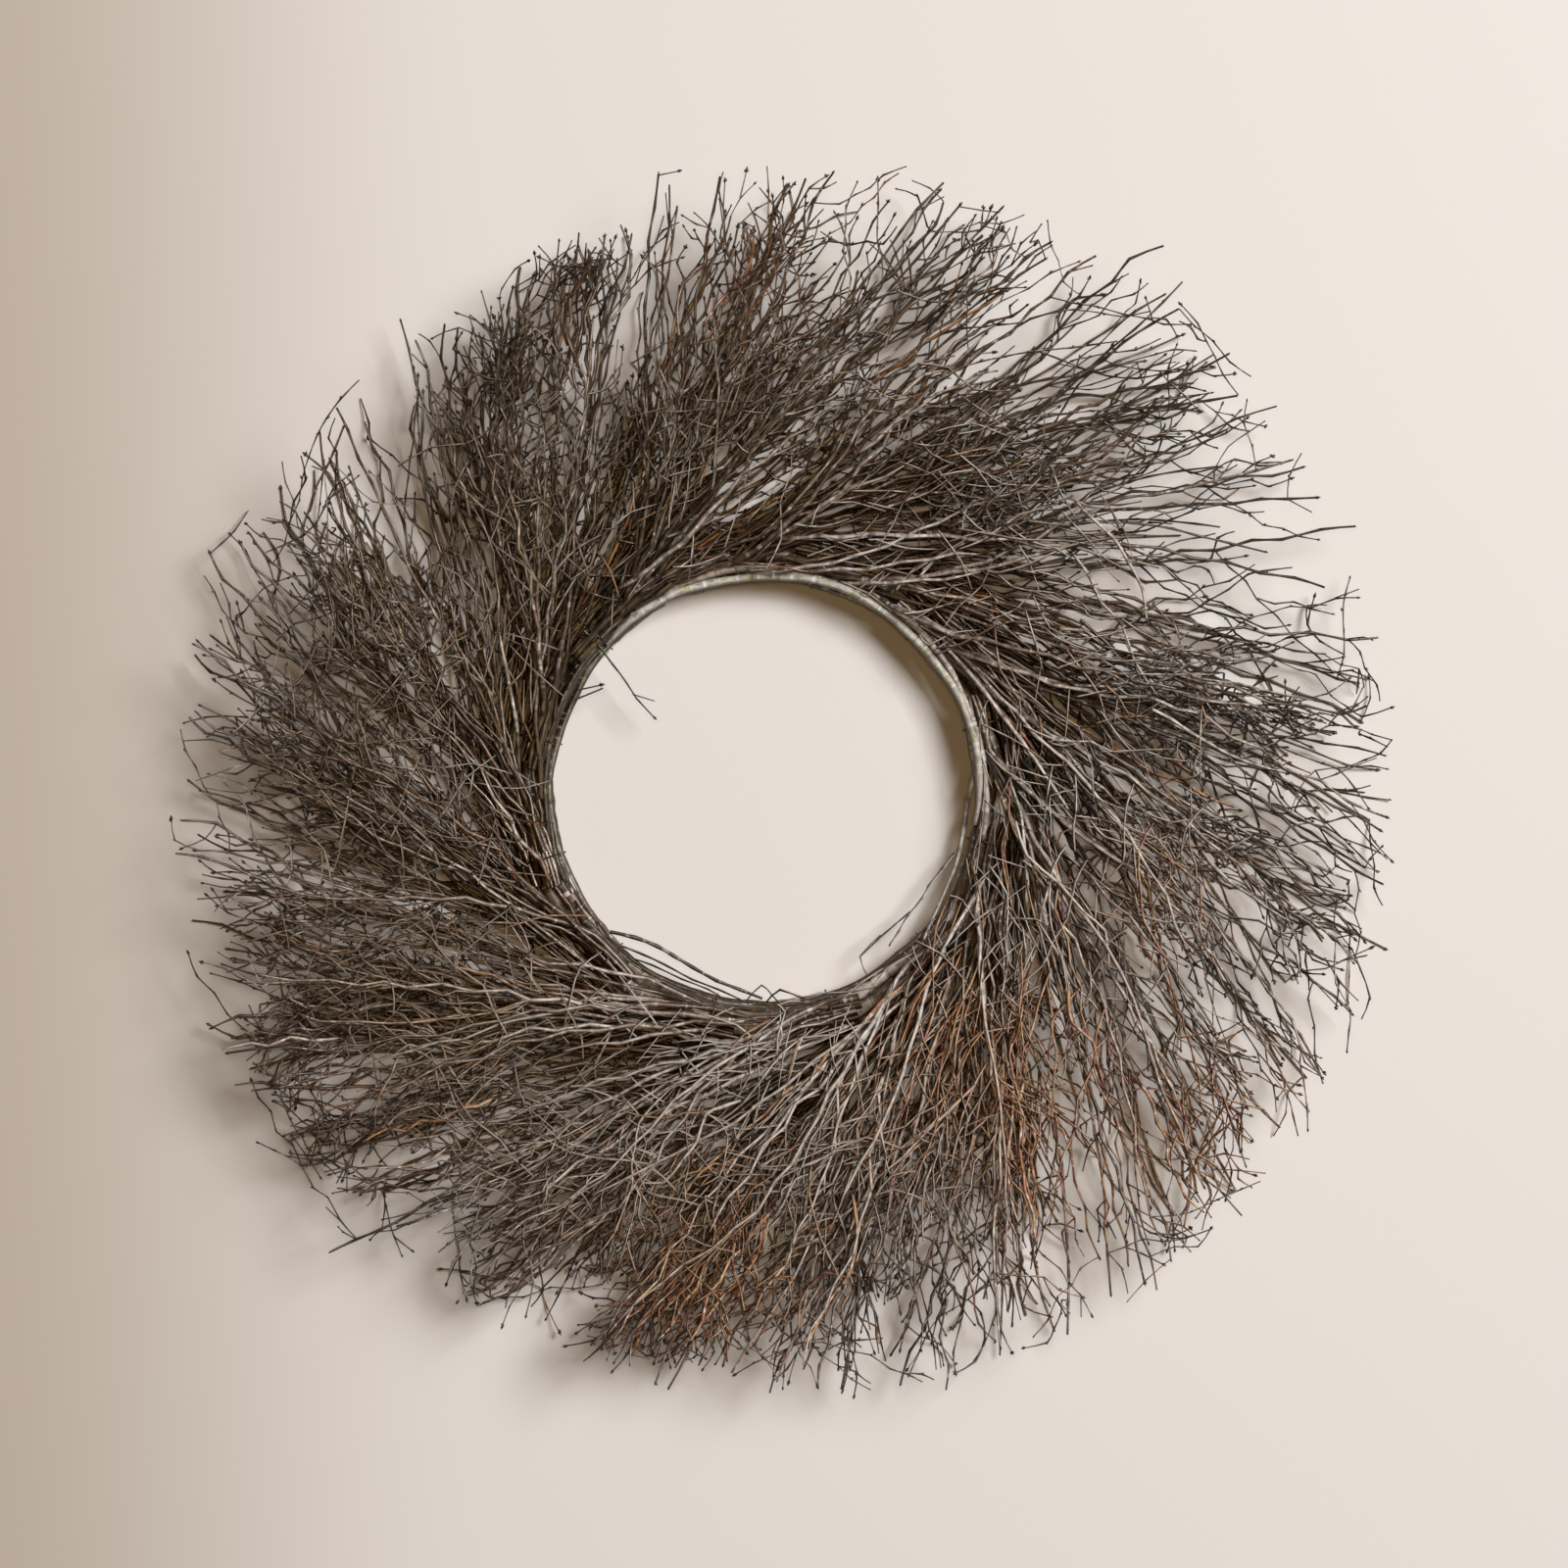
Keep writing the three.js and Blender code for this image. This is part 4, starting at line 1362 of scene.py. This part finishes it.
def tie_path(station):
    azimuth = FIRST_STATION - STATION_ANGLE * station
    held = []
    for layer in LAYERS:
        tied = lerp(BUNDLE_RADIUS, BUNDLE_END_RADIUS, layer.butt / (layer.butt + BUNDLE_END))
        held.append((layer.radius, layer.seat_height, tied))
    for stem in range(HOOP_STEMS):
        twist = hoop_twist(stem, azimuth)
        x = HOOP_RADIUS + HOOP_TWIST_RADIUS * math.cos(twist)
        held.append((x, HOOP_HEIGHT + HOOP_TWIST_RADIUS * math.sin(twist), HOOP_STEM_RADIUS))

    def touch(turn):
        reach = max(x * math.cos(turn) + z * math.sin(turn) + radius for x, z, radius in held)
        return reach + CLEARANCE + WIRE_RADIUS

    step = 2 * math.pi / TIE_STEPS
    path = []
    for k in range(TIE_STEPS):
        a, b = k * step, (k + 1) * step
        x = (touch(a) * math.sin(b) - touch(b) * math.sin(a)) / math.sin(step)
        z = (touch(b) * math.cos(a) - touch(a) * math.cos(b)) / math.sin(step)
        path.append(polar(azimuth, x, z))
    return path


def wire_material():
    """Dull dark wire, rusted in patches."""
    material, tree = new_material("binding wire")
    place = add_node(tree, "ShaderNodeTexCoord", None, "Object")
    rusted = noise(tree, place, 240.0, 3.0).ramp(0.45, 0.6)
    colour = mixed(tree, rusted, rgb(70, 66, 62), rgb(92, 66, 48))
    add_surface(tree, Base_Color=colour, Roughness=0.4 + 0.35 * rusted, Metallic=1.0 - rusted)
    return material


WIRE = wire_material()
for station, name in enumerate(TIES):
    twigs = Twigs()
    twigs.loop(tie_path(station), WIRE_RADIUS)
    piece = skinned(f"wire_{station + 1:02d}", twigs, WIRE, **{"Twig sides": 8})
    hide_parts(name)
    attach(piece, "root")
print(len(TIES), "ties of", triangles(piece), "triangles")

# %% [markdown]
# ## Loose twigs
#
# A few thin twigs stray over the edge of the hole, where every one of them shows against the pale
# floor, so they are laid along their own lines. Others, most of them short and broken, lie across
# the sprays at odd angles. There are hundreds of them, and only their number, length and turn
# matter, so these are drawn at random for each part of the wreath.

# %% Twigs that stray into the hole
# Each line is in millimetres from the hoop's centre, then its radius at the root, age and height.
HOLE_TWIGS = (
    (((-76, -69), (-68, -70), (-56, -76), (-42, -84), (-31, -91.5), (-13, -99.4), (-2, -104)), 1.0, 0.0, 27),
    (((-71, -76), (-50, -86), (-35, -94), (-17, -101), (-9, -105)), 0.7, 0.1, 24),
    (((-64, -83), (-45, -91.5), (-31, -98.5), (-20, -105)), 0.6, 0.0, 22),
    (((-89, 79), (-77, 64), (-68.5, 50), (-64, 40.5), (-59, 33.6)), 0.65, 0.45, 24),
    (((-65, 47.5), (-60, 46), (-54, 44.6)), 0.45, 0.4, 23),
    (((-93, 45), (-87, 47.5), (-80.5, 49.7)), 0.7, 0.2, 22),
    (((-92, 50), (-86.5, 51), (-80.5, 53)), 0.6, 0.2, 24),
    (((72, -59.4), (57.5, -72), (49.4, -82)), 0.55, 0.5, 17),
    (((58, -71.5), (50, -81), (46.7, -86), (53, -92.6)), 0.45, 0.5, 17),
    (((-9, -103), (-4, -95), (1, -97), (11, -106)), 0.5, 0.0, 23),
    (((1, -104), (4, -97), (15, -100.4), (29, -100), (57.5, -94)), 0.65, 0.1, 24),
)

loose = Twigs()
draw = dice(SEED + 700)
for line, radius, age, height in HOLE_TWIGS:
    points = [Vector((x, y, height)) for x, y in line]
    look = {"shade": draw(), "age": age, "green": 0.3 * draw()}
    nodes = grown(points, [radius, 0.75 * radius], draw, internode=(9, 16), kink=0.5)
    add_budded(loose, nodes, draw, look, swell=1.3)

# %% Twigs that lie across the sprays
# How many, azimuths in degrees, distances, lengths, radii in mm, the highest age, chance of gold and
# how far they turn off the sprays in degrees.
STRAYS = (
    (34, (-75, 60), (118, 205), (38, 92), (0.5, 0.9), 0.45, 0.0, 60),
    (22, (60, 285), (122, 225), (38, 80), (0.5, 0.8), 0.0, 0.0, 50),
    (30, (-64, -14), (118, 215), (45, 105), (0.5, 0.8), 0.35, 0.9, 14),
    (200, (-70, 60), (106, 215), (13, 42), (0.42, 0.7), 0.7, 0.06, 62),
    (110, (60, 130), (108, 225), (13, 38), (0.42, 0.65), 0.3, 0.08, 45),
    (240, (130, 235), (125, 255), (18, 52), (0.42, 0.62), 0.25, 0.03, 75),
    (170, (235, 290), (115, 230), (13, 42), (0.42, 0.7), 0.6, 0.03, 58),
)

STRAY_INTERNODE = (12, 20)
STRAY_KINK = 1.7
STRAY_BOW = 0.3
FLOW_TURN = 55  # degrees from straight outward to the way the sprays run

front = LAYERS[2]
for count, azimuths, distances, lengths, radii, age, gold, turn in STRAYS:
    for _ in range(count):
        azimuth = math.radians(between(draw, azimuths))
        distance = between(draw, distances)
        floor, ceiling = layer_heights(front, distance)
        middle = polar(azimuth, distance, lerp(floor, ceiling, lerp(0.75, 1.1, draw())))
        heading = azimuth - math.radians(FLOW_TURN + turn * (2 * draw() - 1))
        along = Vector((math.cos(heading), math.sin(heading), 0.25 * (draw() - 0.5)))
        half = between(draw, lengths) / 2
        radius = between(draw, radii)
        ends = (middle - along * half, middle + along * half)
        bow = STRAY_BOW * (draw() - 0.5)
        nodes = grown(ends, [radius, 0.6 * radius], draw, STRAY_INTERNODE, STRAY_KINK, bow)
        nodes = settled(SPRAYS[-1], nodes)
        warm = 1 if draw() < gold else 0.3 * draw()
        shade = lerp(0.55 if warm == 1 else 0, 1, draw())
        look = {"shade": shade, "age": age * draw(), "green": 0.15 * draw(), "warmth": warm}
        add_budded(loose, nodes, draw, look)

piece = skinned("loose_twigs", loose, TWIG_BARK)
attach(piece, "root")
print("loose twigs:", triangles(piece), "triangles")

# %% [markdown]
# ## Floor, light and camera
#
# The wreath lies on a pale floor and the camera looks straight down on it. One big soft light stands
# to the upper right. A sky could fill the shadows, but theirs is a warm brown, so a small warm lamp
# straight above does it and the sky stays almost black.

# %% Floor
FLOOR_SIZE = 7.0


def floor_material():
    """Pale plaster, with painted shade that darkens it softly towards the left of the view."""
    material, tree = new_material("pale floor")
    place = add_node(tree, "ShaderNodeTexCoord", None, "Object")
    x = add_node(tree, "ShaderNodeSeparateXYZ", {"Vector": place}, "X")
    # painted shade: the floor darkens towards the left
    colour = mixed(tree, x.ramp(-0.42, -0.14), rgb(198, 182, 166), rgb(232, 223, 214))
    add_surface(tree, Base_Color=colour, Roughness=0.9, Specular_IOR_Level=0.2)
    return material


mesh = bpy.data.meshes.new("floor")
half = FLOOR_SIZE / 2
corners = [(-half, -half, 0), (half, -half, 0), (half, half, 0), (-half, half, 0)]
mesh.from_pydata(corners, [], [(0, 1, 2, 3)])
mesh.materials.append(floor_material())
floor = bpy.data.objects.new("floor", mesh)
bpy.context.scene.collection.objects.link(floor)

# %% Light


def add_lamp(name, azimuth, elevation, distance, size, power, colour):
    """A square soft light aimed at the middle of the floor, in degrees, metres and watts."""
    light = bpy.data.lights.new(name, "AREA")
    light.shape = "SQUARE"
    light.size = size
    light.energy = power
    light.color = colour
    lamp = bpy.data.objects.new(name, light)
    rise = math.radians(elevation)
    toward = polar(math.radians(azimuth), math.cos(rise), math.sin(rise))
    lamp.location = toward * distance
    lamp.rotation_euler = toward.to_track_quat("Z", "Y").to_euler()
    bpy.context.scene.collection.objects.link(lamp)


COOL_WHITE = (0.895, 0.94, 1.0)
AMBER = (1.0, 0.68, 0.34)
add_lamp("key", azimuth=31, elevation=55.5, distance=5.5, size=2.1, power=348, colour=COOL_WHITE)
add_lamp("warm fill", azimuth=90, elevation=88.5, distance=3.6, size=0.5, power=17.5, colour=AMBER)

world = bpy.data.worlds.new("studio")
world.use_nodes = True
sky = world.node_tree.nodes["Background"]
NEARLY_BLACK = (0.016, 0.014, 0.012, 1)
sky.inputs["Color"].default_value = NEARLY_BLACK
sky.inputs["Strength"].default_value = 1.0
bpy.context.scene.world = world
bpy.context.scene.view_settings.view_transform = "Standard"

# %% Camera
CAMERA_HEIGHT = 3.0
FRAME_HEIGHT = 0.05  # where the frame's width is measured, two thirds up the wreath
FRAME_WIDTH = 0.766
camera_data = bpy.data.cameras.new("camera")
camera_data.sensor_width = 36
camera_data.lens = camera_data.sensor_width * (CAMERA_HEIGHT - FRAME_HEIGHT) / FRAME_WIDTH
camera = bpy.data.objects.new("camera", camera_data)
camera.location = (0, 0, CAMERA_HEIGHT)
bpy.context.scene.collection.objects.link(camera)
bpy.context.scene.camera = camera
print("lens", round(camera_data.lens, 1), "mm")
